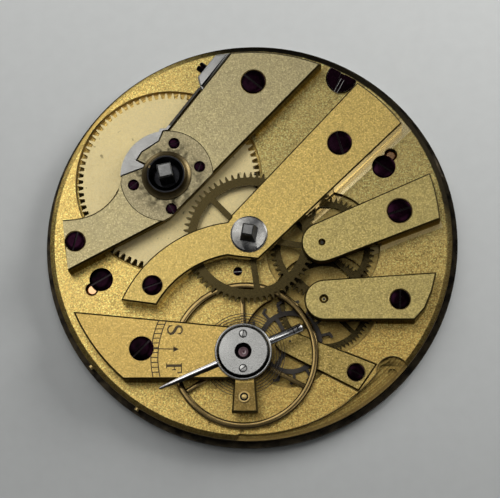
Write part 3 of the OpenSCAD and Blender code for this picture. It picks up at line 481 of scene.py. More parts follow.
# Less light is thrown back at a glancing angle, and least of its blue
glance = (1, 0.9, 0.7)


def dulled(material, sheen):
    shader = next(n for n in material.node_tree.nodes if n.type == "BSDF_PRINCIPLED")
    if sheen < 1:
        shader.inputs["Specular Tint"].default_value = (*shade(glance, sheen), 1)
    return material


# A bar's wall: polished, with painted shade darkening its upper part under the bar's edge;
# above a place along Y its colour may be lifted toward a lit gold as painted light
wallLook = {"rough": 0.14, "deep": 0.8, "dark": (0.5, 0.75), "darkShade": 0.15, "litOver": 3,
            "litGold": (0.62, 0.46, 0.19)}


def wallGilt(name, gold, under=0.92, sheen=1.0, litAbove=None):
    material = dulled(polishedMetal(name, gold, shade(gold, wallLook["deep"]), wallLook["rough"]), sheen)
    tree, shader, place, gilt = reopened(material)
    if litAbove is not None:
        lit = rangedAt(tree, coordinate(tree, place, "Y"), litAbove, litAbove + wallLook["litOver"])
        gilt = mixOf(tree, lit, gilt, wallLook["litGold"])
    start, end = wallLook["dark"]
    dark = rangedAt(tree, coordinate(tree, place, "Z"), plateTop + start, plateTop + end, under)
    feed(tree, shader, mixOf(tree, dark, gilt, shade(gold, wallLook["darkShade"])))
    return material


# Steel painted with shade: black at one place along Y, grading to grey at another
def shadedSteel(name, low, high, black=(0.006, 0.006, 0.006), grey=(0.36, 0.36, 0.35), rough=0.25):
    material, tree, shader, place = startMaterial(name, Metallic=1.0)
    share = rangedAt(tree, coordinate(tree, place, "Y"), low, high)
    feed(tree, shader, mixOf(tree, share, black, grey), rough)
    return material


enamelling = {"coat": 0.6, "coatRough": 0.04, "index": 1.52, "clouds": 160, "deep": (0.80, 0.78, 0.72),
              "pale": (0.87, 0.86, 0.81), "grain": 900, "rough": (0.1, 0.2), "depth": 0.00001, "bump": 0.1}


def enamelWhite(name):
    coat = {"Coat Weight": enamelling["coat"], "Coat Roughness": enamelling["coatRough"],
            "IOR": enamelling["index"]}
    material, tree, shader, place = startMaterial(name, **coat)
    clouds = grainOf(tree, place, enamelling["clouds"], 3)
    feed(tree, shader, clouded(tree, clouds, enamelling["deep"], enamelling["pale"]),
         spread(tree, grainOf(tree, place, enamelling["grain"], 2), *enamelling["rough"]),
         bumpOf(tree, clouds, enamelling["depth"], enamelling["bump"]))
    return material


inkLook = {"grain": 5000, "roughGain": 1.3}


def darkInk(name, pale, deep, rough):
    material, tree, shader, place = startMaterial(name)
    grain = grainOf(tree, place, inkLook["grain"], 3)
    feed(tree, shader, clouded(tree, grain, deep, pale),
         spread(tree, grain, rough, rough * inkLook["roughGain"]))
    return material


stoneLook = {"clear": 0.2, "index": 1.76, "clouds": 1800, "deep": (0.16, 0.075, 0.095),
             "pale": (0.34, 0.20, 0.225), "rough": (0.04, 0.1)}


def rubyStone(name):
    clear = {"Transmission Weight": stoneLook["clear"], "IOR": stoneLook["index"]}
    material, tree, shader, place = startMaterial(name, **clear)
    clouds = grainOf(tree, place, stoneLook["clouds"], 2)
    feed(tree, shader, clouded(tree, clouds, stoneLook["deep"], stoneLook["pale"]),
         spread(tree, clouds, *stoneLook["rough"]))
    return material


# The flange stands out from the plate, and the rim pins stand above it
plateForm = {"flangeWidth": 0.6, "pinRise": 0.55}
barrelReach = reachOf("barrel_drum", barrelAxis)
flangeTop = boxOf("rim_pins")[0].z - plateForm["pinRise"]
plateRadius = reachOf("main_plate", Vector((0, 0))) - plateForm["flangeWidth"]
finishes = {
    "plate": plateGilt("giltPlate", (0.78, 0.545, 0.165), flangeTop, plateRadius),
    "barrelBridge": frostedGilt("giltBarrelBridge", (0.43, 0.365, 0.19), 0.2, 0.36),
    "ratchetCap": dirtyGilt("giltRatchetCap", (0.34, 0.29, 0.165), barrelAxis, 2.3, 4.2),
    "centreBridge": frostedGilt("giltCentreBridge", (0.60, 0.44, 0.136), 0.1, 0.36),
    "sideCock": frostedGilt("giltSideCock", (0.50, 0.40, 0.145), 0.15),
    "tongue": frostedGilt("giltTongue", (0.27, 0.185, 0.055), 0.2),
    "balanceCock": frostedGilt("giltBalanceCock", (0.61, 0.425, 0.124), 0.1, 0.36),
    "lowCock": frostedGilt("giltLowCock", (0.42, 0.31, 0.095), 0.3, 0.55, 1.0, 0.36, 0.9),
    "barrelFace": frostedGilt("giltBarrelFace", (0.80, 0.67, 0.35), 0.9, 0.14, 0.2, 0.46, 0.0),
    # painted shade: the chamfers' gold is darkened almost to black
    "giltBevel": polishedMetal("giltBevel", (0.12, 0.088, 0.032), (0.06, 0.045, 0.016), 0.3),
    # painted shade: the walls' gilt is a dark copy, darker still on its upper part
    "giltWall": wallGilt("giltWall", (0.15, 0.11, 0.045), 0.92, 0.32),
    # painted shade: the endstone cap's bevel goes from black below to grey above
    "capEdge": shadedSteel("capEdge", balanceAxis.y - 0.9, balanceAxis.y + 0.5),
    # painted shade on the barrel bridge's wall, lifted to a lit gold above a place along Y as painted light
    "barrelWall": wallGilt("barrelWall", (0.15, 0.11, 0.045), 0.92, 0.6, 8.5),
    # painted light: the centre bridge's wall is a bright copy of the wall gilt, with painted shade on its upper
    # part
    "brightWall": wallGilt("brightWall", (0.88, 0.70, 0.32), 0.6),
    "giltLip": polishedMetal("giltLip", (0.80, 0.62, 0.27), (0.62, 0.47, 0.19), 0.45),
    # painted shade: a dark gilt for the walls of the plate's sinks, the low cock's walls and the oil cups
    "giltSink": dulled(polishedMetal("giltSink", (0.20, 0.145, 0.05), (0.10, 0.07, 0.024), 0.2), 0.25),
    "dullBrass": polishedMetal("dullBrass", (0.22, 0.17, 0.085), (0.10, 0.075, 0.036), 0.25, 0.3),
    "blued": bluedSteel("bluedScrew"),
    "slotSteel": polishedMetal("slotSteel", (0.016, 0.013, 0.014), (0.005, 0.004, 0.004), 0.2, 0.3),
    "steel": polishedMetal("polishedSteel", (0.70, 0.70, 0.71), (0.56, 0.56, 0.57), 0.1),
    "needleSteel": polishedMetal("needleSteel", (0.78, 0.78, 0.78), (0.66, 0.66, 0.66), 0.13),
    "satinSteel": polishedMetal("satinSteel", (0.42, 0.42, 0.41), (0.34, 0.34, 0.33), 0.22, 0.12),
    "clickSteel": polishedMetal("clickSteel", (0.46, 0.46, 0.45), (0.36, 0.36, 0.35), 0.35, 0.3),
    # dark steel; on the pinions and on the regulator needle's lower side it is painted shade
    "darkSteel": polishedMetal("darkSteel", (0.08, 0.075, 0.065), (0.035, 0.032, 0.028), 0.3, 0.25),
    "blackSteel": polishedMetal("blackSteel", (0.020, 0.020, 0.022), (0.006, 0.006, 0.007), 0.25),
    "settingSteel": sectoredSteel("settingSteel", axisOf["hand_setting"]),
    "squareSteel": polishedMetal("squareSteel", (0.17, 0.17, 0.168), (0.10, 0.10, 0.098), 0.25, 0.3),
    # the balance's dark bronze is partly its own tone and partly painted shade
    "balanceGold": polishedMetal("balanceGold", (0.26, 0.185, 0.075), (0.15, 0.105, 0.042), 0.12),
    # the hairspring's own dark steel; on the escape wheel it is painted shade
    "springBlue": polishedMetal("springBlue", (0.060, 0.054, 0.048), (0.028, 0.025, 0.022), 0.3),
    "springSteel": polishedMetal("mainspringSteel", (0.36, 0.38, 0.43), (0.28, 0.30, 0.34), 0.3),
    "copper": polishedMetal("copperFoot", (0.60, 0.36, 0.20), (0.36, 0.20, 0.10), 0.12, 0.3),
    "smallBrass": polishedMetal("smallBrass", (0.76, 0.58, 0.26), (0.58, 0.42, 0.16), 0.28, 0.25),
    "enamel": enamelWhite("enamelDial"),
    "ink": darkInk("dialInk", (0.020, 0.018, 0.020), (0.010, 0.009, 0.010), 0.35),
    "engraving": darkInk("engraving", (0.10, 0.065, 0.015), (0.035, 0.022, 0.006), 0.5),
    "ruby": rubyStone("rubyStone"),
}
# painted shade: the train wheels' brass is darkened nearly to black for the sinks they turn in
wheelBrassInShade = {"pale": (0.062, 0.047, 0.019), "deep": (0.026, 0.020, 0.008), "rough": 0.24}
wheelJoints = {"centreWheel": "centre_spin", "thirdWheel": "third_spin", "fourthWheel": "fourth_spin",
               "minuteWheel": "minute_spin", "hourWheel": "hour_spin"}
for wheel, joint in wheelJoints.items():
    finishes[wheel] = turnedMetal(wheel + "Brass", axisOf[joint], **wheelBrassInShade)
print("finishes made:", len(finishes))


def linked(name, data):
    holder = bpy.data.objects.new(name, data)
    bpy.context.scene.collection.objects.link(holder)
    return holder


# Pieces are worked in millimetres, then brought to metres at the origin
def settle(mesh, name, body, replaced, materials, sharpAngle=26):
    mesh.transform(Matrix.Scale(millimetre, 4))
    layers = [face.material_index for face in mesh.polygons]
    mesh.materials.clear()
    for material in materials:
        mesh.materials.append(finishes[material])
    mesh.polygons.foreach_set("material_index", layers)
    mesh.polygons.foreach_set("use_smooth", [abs(face.normal.z) < 0.9999 for face in mesh.polygons])
    mesh.set_sharp_from_angle(angle=math.radians(sharpAngle))
    piece = linked(name, mesh)
    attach(piece, body)
    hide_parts(*replaced)


def meshFrom(work, name):
    mesh = bpy.data.meshes.new(name)
    work.to_mesh(mesh)
    work.free()
    return mesh


def mergedCopy(node):
    work = bmesh.new()
    work.from_mesh(cadNodes[node].data)
    bmesh.ops.scale(work, vec=Vector((1, 1, 1)) / millimetre, verts=work.verts)
    bmesh.ops.remove_doubles(work, verts=work.verts, dist=0.002)
    bmesh.ops.dissolve_limit(work, angle_limit=math.radians(0.6), verts=work.verts, edges=work.edges)
    return work


# A node with its sharp edges broken by a small chamfer, apart from those that lie near the spared places.
# Materials are for the flats, the chamfers and the walls; dress may choose another for a face.
breaking = {"sharp": 38, "ringSharp": 60, "holeLip": 0.1, "level": 0.01, "smooth": 14}


def chamferedCopy(node, name, chamfer, materials, spared=(), dress=None, extra=None, reshape=None,
                  topOnly=False, segments=1):
    work = mergedCopy(node)
    if reshape:
        reshape(work)
    top = boxOf(node)[1].z

    def turnsBy(edge, degrees):
        return len(edge.link_faces) == 2 and edge.calc_face_angle() > math.radians(degrees)

    def isOnTop(edge):
        return max(top - v.co.z for v in edge.verts) < breaking["level"]

    def isChosen(edge):
        if not turnsBy(edge, breaking["sharp"]) or topOnly and not isOnTop(edge):
            return False
        middle = (edge.verts[0].co + edge.verts[1].co) / 2
        return all((middle.xy - place.xy).length > radius for place, radius in spared)

    def isScrewRing(edge):
        if not turnsBy(edge, breaking["ringSharp"]) or not isOnTop(edge):
            return False
        return any((edge.verts[0].co.xy - place.xy).length < radius for place, radius in screwPlaces)

    bmesh.ops.bevel(work, geom=[e for e in work.edges if isChosen(e)], offset=chamfer, offset_type="OFFSET",
                    segments=segments, profile=0.5, affect="EDGES", clamp_overlap=not topOnly,
                    material=min(1, len(materials) - 1))
    if "giltLip" in materials:
        bmesh.ops.bevel(work, geom=[e for e in work.edges if isScrewRing(e)], offset=breaking["holeLip"],
                        offset_type="OFFSET", segments=1, affect="EDGES", clamp_overlap=True,
                        material=materials.index("giltLip"))
    work.normal_update()
    for face in work.faces:
        if abs(face.normal.z) < 0.5:
            face.material_index = min(2, len(materials) - 1)
        if dress:
            face.material_index = dress(face.normal, face.calc_center_median(), face.material_index)
    if extra:
        work.from_mesh(extra)
    body = cadNodes[node]["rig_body"]
    settle(meshFrom(work, name), name, body, [node], materials, breaking["smooth"])


# Boxes about the separate solids of a node, from left to right and then upwards
def islandsOf(node):
    work = mergedCopy(node)
    left, found = set(work.verts), []
    while left:
        heap, island = [left.pop()], []
        while heap:
            vert = heap.pop()
            island.append(vert.co.copy())
            for edge in vert.link_edges:
                other = edge.other_vert(vert)
                if other in left:
                    left.remove(other)
                    heap.append(other)
        low = Vector(min(c[i] for c in island) for i in range(3))
        high = Vector(max(c[i] for c in island) for i in range(3))
        found.append((low, high))
    work.free()
    return sorted(found, key=lambda pair: (round(pair[0].x + pair[1].x, 2), pair[0].y))


def lathe(profile, segments=128, closed=True):
    work = bmesh.new()
    rings = []
    for step in range(segments):
        turn = fullTurn * step / segments
        rings.append([work.verts.new((r * math.cos(turn), r * math.sin(turn), z)) for r, z in profile])
    spans = len(profile) if closed else len(profile) - 1
    for step in range(segments):
        here, there = rings[step], rings[(step + 1) % segments]
        for k in range(spans):
            nextK = (k + 1) % len(profile)
            work.faces.new((here[k], there[k], there[nextK], here[nextK]))
    bmesh.ops.remove_doubles(work, verts=work.verts, dist=0.0005)
    bmesh.ops.recalc_face_normals(work, faces=work.faces)
    return work


def joined(*works):
    whole = bmesh.new()
    for work in works:
        part = bpy.data.meshes.new("part")
        work.to_mesh(part)
        work.free()
        whole.from_mesh(part)
        bpy.data.meshes.remove(part)
    return whole


def moved(work, place, turn=0.0):
    toPlace = Matrix.Translation(place) @ Matrix.Rotation(turn, 4, "Z")
    bmesh.ops.transform(work, matrix=toPlace, verts=work.verts)
    return work


def boxWork(length, width, height):
    work = bmesh.new()
    bmesh.ops.create_cube(work, size=1)
    bmesh.ops.scale(work, vec=(length, width, height), verts=work.verts)
    return work


# Thin raised strokes for engraving and print: each path is a list of (x, y, half width)
def strokes(paths, low, high):
    work = bmesh.new()
    corners = ((-1, low), (1, low), (1, high), (-1, high))
    for path in paths:
        sides = []
        for k, (x, y, half) in enumerate(path):
            before, after = path[max(k - 1, 0)], path[min(k + 1, len(path) - 1)]
            along = Vector((after[0] - before[0], after[1] - before[1])).normalized()
            across = Vector((-along.y, along.x)) * half
            sides.append([work.verts.new((x + s * across.x, y + s * across.y, z)) for s, z in corners])
        for here, there in zip(sides, sides[1:]):
            for k in range(4):
                work.faces.new((here[k], here[(k + 1) % 4], there[(k + 1) % 4], there[k]))
        work.faces.new(sides[0])
        work.faces.new(sides[-1])
    bmesh.ops.recalc_face_normals(work, faces=work.faces)
    return work


def painted(work, layer):
    for face in work.faces:
        face.material_index = layer
    return work


# Geometry trees
def startTree(name, inputs):
    tree = bpy.data.node_groups.new(name, "GeometryNodeTree")
    tree.is_modifier = True
    for label, kind in inputs:
        tree.interface.new_socket(label, in_out="INPUT", socket_type="NodeSocket" + kind)
    tree.interface.new_socket("Geometry", in_out="OUTPUT", socket_type="NodeSocketGeometry")
    return tree, tree.nodes.new("NodeGroupInput").outputs


def endTree(tree, geometry, given):
    real = put(tree, "GeometryNodeRealizeInstances", {"Geometry": geometry}).outputs[0]
    dressed = put(tree, "GeometryNodeSetMaterial", {"Geometry": real, "Material": given["Material"]})
    tree.links.new(dressed.outputs[0], tree.nodes.new("NodeGroupOutput").inputs[0])


def runTree(tree, values, start=None):
    holder = linked(tree.name, start or bpy.data.meshes.new(tree.name))
    modifier = holder.modifiers.new(tree.name, "NODES")
    modifier.node_group = tree
    for item in tree.interface.items_tree:
        if item.in_out == "INPUT" and item.name in values:
            modifier[item.identifier] = values[item.name]
    evaluated = holder.evaluated_get(bpy.context.evaluated_depsgraph_get())
    mesh = bpy.data.meshes.new_from_object(evaluated)
    holder.modifiers.remove(modifier)
    bpy.data.objects.remove(holder)
    return mesh


def pointAt(tree, distance, angle):
    x = product(tree, distance, calc(tree, "COSINE", angle))
    y = product(tree, distance, calc(tree, "SINE", angle))
    return put(tree, "ShaderNodeCombineXYZ", {"X": x, "Y": y}).outputs[0]


def placedAt(tree, geometry, place):
    return put(tree, "GeometryNodeSetPosition", {"Geometry": geometry, "Position": place}).outputs[0]


def turnAbout(tree, turn):
    angles = put(tree, "ShaderNodeCombineXYZ", {"Z": turn}).outputs[0]
    return put(tree, "FunctionNodeEulerToRotation", {0: angles}).outputs[0]


def joinedIn(tree, *parts):
    whole = tree.nodes.new("GeometryNodeJoinGeometry")
    for part in parts:
        tree.links.new(part, whole.inputs[0])
    return whole.outputs[0]


# A toothed wheel: rounded teeth on a rim, windows between the spokes, a bore
toothing = {"pointsPerTooth": 20, "windowArc": 32, "hubArc": 16, "boreArc": 40, "weld": 0.0005,
            "flank": ((0.0, 1.0), (0.1, 0.97), (0.22, 0.84), (0.34, 0.58), (0.44, 0.3), (0.52, 0.08),
                      (0.6, 0.0), (1.0, 0.0))}


def toothOutline(tree, given, index):
    count = product(tree, given["Teeth"], toothing["pointsPerTooth"])
    around = total(tree, product(tree, calc(tree, "DIVIDE", index, count), fullTurn), given["Turn"])
    phase = calc(tree, "FRACT", total(tree, calc(tree, "DIVIDE", index, toothing["pointsPerTooth"]), 0.5))
    fromMiddle = product(tree, calc(tree, "ABSOLUTE", calc(tree, "SUBTRACT", phase, 0.5)), 2)
    flank = put(tree, "ShaderNodeFloatCurve", {"Value": fromMiddle})
    curve = flank.mapping.curves[0]
    for k, (x, y) in enumerate(toothing["flank"]):
        point = curve.points[k] if k < 2 else curve.points.new(x, y)
        point.location = (x, y)
    flank.mapping.update()
    depth = calc(tree, "SUBTRACT", given["Tip Radius"], given["Root Radius"])
    radius = total(tree, given["Root Radius"], product(tree, depth, flank.outputs[0]))
    circle = put(tree, "GeometryNodeCurvePrimitiveCircle", {"Resolution": count}).outputs[0]
    return placedAt(tree, circle, pointAt(tree, radius, around))


# Each window is one ring of points: out along the rim, back along the hub
def spokeWindows(tree, given, index):
    arc, hubArc = toothing["windowArc"], toothing["hubArc"]
    blank = put(tree, "GeometryNodeCurvePrimitiveCircle", {"Resolution": arc + hubArc}).outputs[0]
    copies = put(tree, "GeometryNodeDuplicateElements", {"Geometry": blank, "Amount": given["Spokes"]},
                 domain="SPLINE")
    step = calc(tree, "MODULO", index, arc + hubArc)
    onRim = calc(tree, "LESS_THAN", step, arc)
    onHub = calc(tree, "SUBTRACT", 1, onRim)
    half = calc(tree, "DIVIDE", math.pi, given["Spokes"])
    halfSpoke = product(tree, given["Spoke Width"], 0.5)

    def openAngle(distance):
        return calc(tree, "SUBTRACT", half, calc(tree, "ARCSINE", calc(tree, "DIVIDE", halfSpoke, distance)))

    rimShare = calc(tree, "SUBTRACT", product(tree, step, 2 / (arc - 1)), 1)
    hubStep = calc(tree, "SUBTRACT", step, arc)
    hubShare = calc(tree, "SUBTRACT", 1, product(tree, hubStep, 2 / (hubArc - 1)))
    rimTurn = product(tree, rimShare, openAngle(given["Window Radius"]), onRim)
    hubTurn = product(tree, hubShare, openAngle(given["Hub Radius"]), onHub)
    middle = product(tree, total(tree, product(tree, copies.outputs[1], 2), 1), half)
    turn = total(tree, rimTurn, hubTurn, total(tree, middle, given["Spoke Turn"]))
    outer, inner = product(tree, given["Window Radius"], onRim), product(tree, given["Hub Radius"], onHub)
    radius = total(tree, outer, inner)
    return placedAt(tree, copies.outputs[0], pointAt(tree, radius, turn))


def toothedWheelTree():
    lengths = ("Root Radius", "Tip Radius", "Turn", "Spoke Width", "Spoke Turn", "Window Radius", "Hub Radius",
               "Bore Radius", "Low", "Thickness")
    inputs = [("Teeth", "Int"), ("Spokes", "Int"), *((name, "Float") for name in lengths),
              ("Material", "Material")]
    tree, given = startTree("toothedWheel", inputs)
    index = tree.nodes.new("GeometryNodeInputIndex").outputs[0]
    bore = put(tree, "GeometryNodeCurvePrimitiveCircle", {"Resolution": toothing["boreArc"],
                                                          "Radius": given["Bore Radius"]}).outputs[0]
    outlines = joinedIn(tree, toothOutline(tree, given, index), spokeWindows(tree, given, index), bore)
    sheet = put(tree, "GeometryNodeFillCurve", {"Curve": outlines}, mode="NGONS").outputs[0]
    raised = put(tree, "GeometryNodeExtrudeMesh", {"Mesh": sheet, "Offset Scale": given["Thickness"],
                                                   "Individual": False}).outputs["Mesh"]
    under = put(tree, "GeometryNodeFlipFaces", {"Mesh": sheet}).outputs[0]
    welded = put(tree, "GeometryNodeMergeByDistance", {"Geometry": joinedIn(tree, raised, under),
                                                       "Distance": toothing["weld"]}).outputs[0]
    lift = put(tree, "ShaderNodeCombineXYZ", {"Z": given["Low"]}).outputs[0]
    placed = put(tree, "GeometryNodeTransform", {"Geometry": welded, "Translation": lift}).outputs[0]
    endTree(tree, placed, given)
    return tree


wheelTree = toothedWheelTree()


def wheelMesh(node, axis, teeth, facing, depth, material, low, thickness, spokes=0, spokeWidth=0.5,
              spokeTurn=0.0, rim=0.6, hub=1.0, bore=0.4):
    tip = reachOf(node, axis)
    root = tip - depth
    heading = math.atan2(facing.y - axis.y, facing.x - axis.x)
    mesh = runTree(wheelTree, {
        "Teeth": teeth, "Root Radius": root, "Tip Radius": tip, "Turn": heading, "Spokes": spokes,
        "Spoke Width": spokeWidth, "Spoke Turn": math.radians(spokeTurn), "Window Radius": root - rim,
        "Hub Radius": hub, "Bore Radius": bore, "Low": low, "Thickness": thickness,
        "Material": finishes[material]})
    mesh.transform(Matrix.Translation((axis.x, axis.y, 0)))
    return mesh


centreAxis, thirdAxis = axisOf["centre_spin"], axisOf["third_spin"]
fourthAxis, escapeAxis = axisOf["fourth_spin"], axisOf["escape_spin"]
minuteAxis = axisOf["minute_spin"]
trainWheels = {
    "centreWheel": {"node": "centre_wheel", "axis": centreAxis, "facing": thirdAxis, "teeth": 64, "depth": 0.56,
                    "spokes": 5, "spokeWidth": 0.62, "spokeTurn": 134, "rim": 0.85, "hub": 1.6, "bore": 0.9},
    "thirdWheel": {"node": "third_wheel", "axis": thirdAxis, "facing": fourthAxis, "teeth": 60, "depth": 0.47,
                   "spokes": 4, "spokeWidth": 0.5, "spokeTurn": 45, "rim": 0.6, "hub": 1.1, "bore": 0.42},
    "fourthWheel": {"node": "fourth_wheel", "axis": fourthAxis, "facing": escapeAxis, "teeth": 70, "depth": 0.37,
                    "spokes": 4, "spokeWidth": 0.45, "spokeTurn": 45, "rim": 0.5, "hub": 0.9, "bore": 0.3},
    "minuteWheel": {"node": "minute_wheel", "axis": minuteAxis, "facing": centreAxis, "teeth": 36, "depth": 0.49,
                    "spokes": 4, "spokeWidth": 0.5, "spokeTurn": 45, "rim": 0.5, "hub": 1.1, "bore": 0.62},
}
for name, wheel in trainWheels.items():
    low, high = boxOf(wheel["node"])
    mesh = wheelMesh(**wheel, material=name, low=low.z, thickness=high.z - low.z)
    settle(mesh, name, cadNodes[wheel["node"]]["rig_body"], [wheel["node"]], [name])

# The barrel: toothed disc over the drum's wall
barrel = {"teeth": 84, "depth": 0.6, "discThick": 0.6, "bore": 1.13, "wall": 0.8, "overlap": 0.01}
drumLow, drumHigh = boxOf("barrel_drum")
discLow = drumHigh.z - barrel["discThick"]
disc = wheelMesh("barrel_drum", barrelAxis, barrel["teeth"], centreAxis, barrel["depth"], "barrelFace", discLow,
                 barrel["discThick"], bore=barrel["bore"])
wallOutside = reachOf("barrel_cover", barrelAxis)
wallInside = wallOutside - barrel["wall"]
wallTop = discLow + barrel["overlap"]
wallSection = [(wallInside, drumLow.z), (wallOutside, drumLow.z), (wallOutside, wallTop), (wallInside, wallTop)]
wall = moved(lathe(wallSection), (barrelAxis.x, barrelAxis.y, 0))
wall.from_mesh(disc)
settle(meshFrom(wall, "barrelDrum"), "barrelDrum", "barrel", ["barrel_drum"], ["barrelFace"])
print("toothed wheels made:", len(trainWheels) + 1)

# Slotted screws: one blank per size, set on its points with its own turn;
# the plate screw's slot floor is pale satin steel as a painted highlight
screwSizes = {
    "bridgeScrewsLarge": {"node": "large_bridge_screws", "height": 0.55, "shank": 0.5,
                          "turns": (45, -40, -73, 18)},
    "bridgeScrewsSmall": {"node": "small_bridge_screws", "height": 0.55, "shank": 0.42, "turns": (75, 20, 88)},
    "dialScrews": {"node": "dial_screws", "height": 0.48, "shank": 0.45, "turns": (30, -35)},
    "plateScrew": {"node": "plate_screw", "height": 0.4, "shank": 0.25, "turns": (5,)},
    "capScrews": {"node": "ratchet_cap_screws", "height": 0.25, "shank": 0.25, "turns": (40, -60, 15, 70)},
    "lowCockScrew": {"node": "escape_cock_screw", "height": 0.25, "shank": 0.4, "turns": (-25,)},
    "endstoneScrews": {"node": "endstone_cap_screws", "height": 0.25, "shank": 0.2, "turns": (35, 85)},
}
screwForm = {"edge": 0.1, "edgeShare": 0.16, "crown": 0.03, "slotWidth": 0.2, "slotDepth": 0.36, "segments": 48,
             "clear": 0.3, "flatFrom": 0.9, "floorNear": 0.02}


def screwBlank(head, height, shank, length):
    edge = min(screwForm["edge"], head * screwForm["edgeShare"])
    crown = screwForm["crown"] * head
    profile = [(0, -length), (shank, -length), (shank, -height), (head, -height), (head, -edge - crown),
               (head - edge * 0.3, -edge * 0.35 - crown), (head - edge, -crown), (head * 0.5, -crown * 0.3),
               (0, 0)]
    body = linked("blank", meshFrom(lathe(profile, screwForm["segments"], closed=False), "blank"))
    slotWide, slotDeep = head * screwForm["slotWidth"], height * screwForm["slotDepth"]
    slot = linked("slot", meshFrom(boxWork(head * 3, slotWide, slotDeep * 2), "slot"))
    cut = body.modifiers.new("slot", "BOOLEAN")
    cut.operation = "DIFFERENCE"
    cut.solver = "EXACT"
    cut.object = slot
    mesh = bpy.data.meshes.new_from_object(body.evaluated_get(bpy.context.evaluated_depsgraph_get()))
    for item in (body, slot):
        bpy.data.objects.remove(item)
    return mesh


def setOnPointsTree():
    inputs = [("Geometry", "Geometry"), ("Piece", "Object"), ("Material", "Material")]
    tree, given = startTree("setOnPoints", inputs)
    stored = put(tree, "GeometryNodeInputNamedAttribute", {"Name": "turn"}, data_type="FLOAT")
    turn = turnAbout(tree, stored.outputs["Attribute"])
    piece = put(tree, "GeometryNodeObjectInfo", {"Object": given["Piece"]}).outputs["Geometry"]
    placed = put(tree, "GeometryNodeInstanceOnPoints", {"Points": given["Geometry"], "Instance": piece,
                                                        "Rotation": turn})
    endTree(tree, placed.outputs[0], given)
    return tree


pointsTree = setOnPointsTree()


def setOnPoints(pieceMesh, places, turns, material):
    points = bpy.data.meshes.new("points")
    points.from_pydata([tuple(p) for p in places], [], [])
    angles = points.attributes.new("turn", "FLOAT", "POINT")
    angles.data.foreach_set("value", [math.radians(t) for t in turns])
    piece = linked("piece", pieceMesh)
    mesh = runTree(pointsTree, {"Piece": piece, "Material": finishes[material]}, points)
    bpy.data.objects.remove(piece)
    return mesh


screwPlaces = []
for name, screw in screwSizes.items():
    islands = islandsOf(screw["node"])
    low, high = islands[0]
    head = (high.x - low.x) / 2
    blank = screwBlank(head, screw["height"], screw["shank"], high.z - low.z)
    places = [Vector(((a.x + b.x) / 2, (a.y + b.y) / 2, b.z)) for a, b in islands]
    screwPlaces += [(place, head + screwForm["clear"]) for place in places]
    material = "satinSteel" if name == "endstoneScrews" else "blued"
    slotMaterial = "satinSteel" if name == "plateScrew" else "slotSteel"
    mesh = setOnPoints(blank, places, screw["turns"], material)
    floorLevel = high.z - screw["height"] * screwForm["slotDepth"]
    for face in mesh.polygons:
        isFlat = face.normal.z > screwForm["flatFrom"]
        inSlot = isFlat and abs(face.center.z - floorLevel) < screwForm["floorNear"]
        face.material_index = int(inSlot or name == "endstoneScrews" and not isFlat)
    settle(mesh, name, "frame", [screw["node"]], [material, slotMaterial])
print("screws made:", sum(len(screw["turns"]) for screw in screwSizes.values()))

# The hairspring: one unbroken flat ribbon from collet to stud
hairspring = {"loops": 12, "inner": 0.97, "outer": 4.365, "width": 0.05, "height": 0.16, "pointsPerLoop": 72,
              "studTurn": 271}


def hairspringTree():
    lengths = ("Loops", "Inner", "Outer", "Width", "Height", "End Turn")
    inputs = [*((name, "Float") for name in lengths), ("Points", "Int"), ("Material", "Material")]
    tree, given = startTree("hairspringRibbon", inputs)
    index = tree.nodes.new("GeometryNodeInputIndex").outputs[0]
    share = calc(tree, "DIVIDE", index, calc(tree, "SUBTRACT", given["Points"], 1))
    left = product(tree, calc(tree, "SUBTRACT", 1, share), given["Loops"])
    turn = calc(tree, "SUBTRACT", given["End Turn"], product(tree, left, fullTurn))
    growth = calc(tree, "SUBTRACT", given["Outer"], given["Inner"])
    radius = total(tree, given["Inner"], product(tree, share, growth))
    line = put(tree, "GeometryNodeMeshLine", {"Count": given["Points"]}).outputs[0]
    wound = placedAt(tree, line, pointAt(tree, radius, turn))
    path = put(tree, "GeometryNodeMeshToCurve", {"Mesh": wound}).outputs[0]
    upright = put(tree, "GeometryNodeSetCurveNormal", {"Curve": path}, mode="Z_UP").outputs[0]
    section = put(tree, "GeometryNodeCurvePrimitiveQuadrilateral", {"Width": given["Width"],
                                                                    "Height": given["Height"]}).outputs[0]
    ribbon = put(tree, "GeometryNodeCurveToMesh", {"Curve": upright, "Profile Curve": section,
                                                   "Fill Caps": True}).outputs[0]
    endTree(tree, ribbon, given)
    return tree


springLow, springHigh = boxOf("hairspring")
mesh = runTree(hairspringTree(), {
    "Loops": float(hairspring["loops"]), "Inner": hairspring["inner"], "Outer": hairspring["outer"],
    "Width": hairspring["width"], "Height": hairspring["height"],
    "End Turn": math.radians(hairspring["studTurn"]),
    "Points": hairspring["loops"] * hairspring["pointsPerLoop"] + 1, "Material": finishes["springBlue"]})
mesh.transform(Matrix.Translation((balanceAxis.x, balanceAxis.y, (springLow.z + springHigh.z) / 2)))
settle(mesh, "hairspringRibbon", "balance", ["hairspring"], ["springBlue"], sharpAngle=60)

# The balance: a rounded rim on three slim arms
balance = {"rimWidth": 0.7, "rimSides": 24, "roundness": 0.6, "arms": 3, "armWidth": 0.5, "armThick": 0.22,
           "armTurn": 92, "armSunk": 0.1, "hub": 1.0, "bore": 0.4, "edge": 0.05}


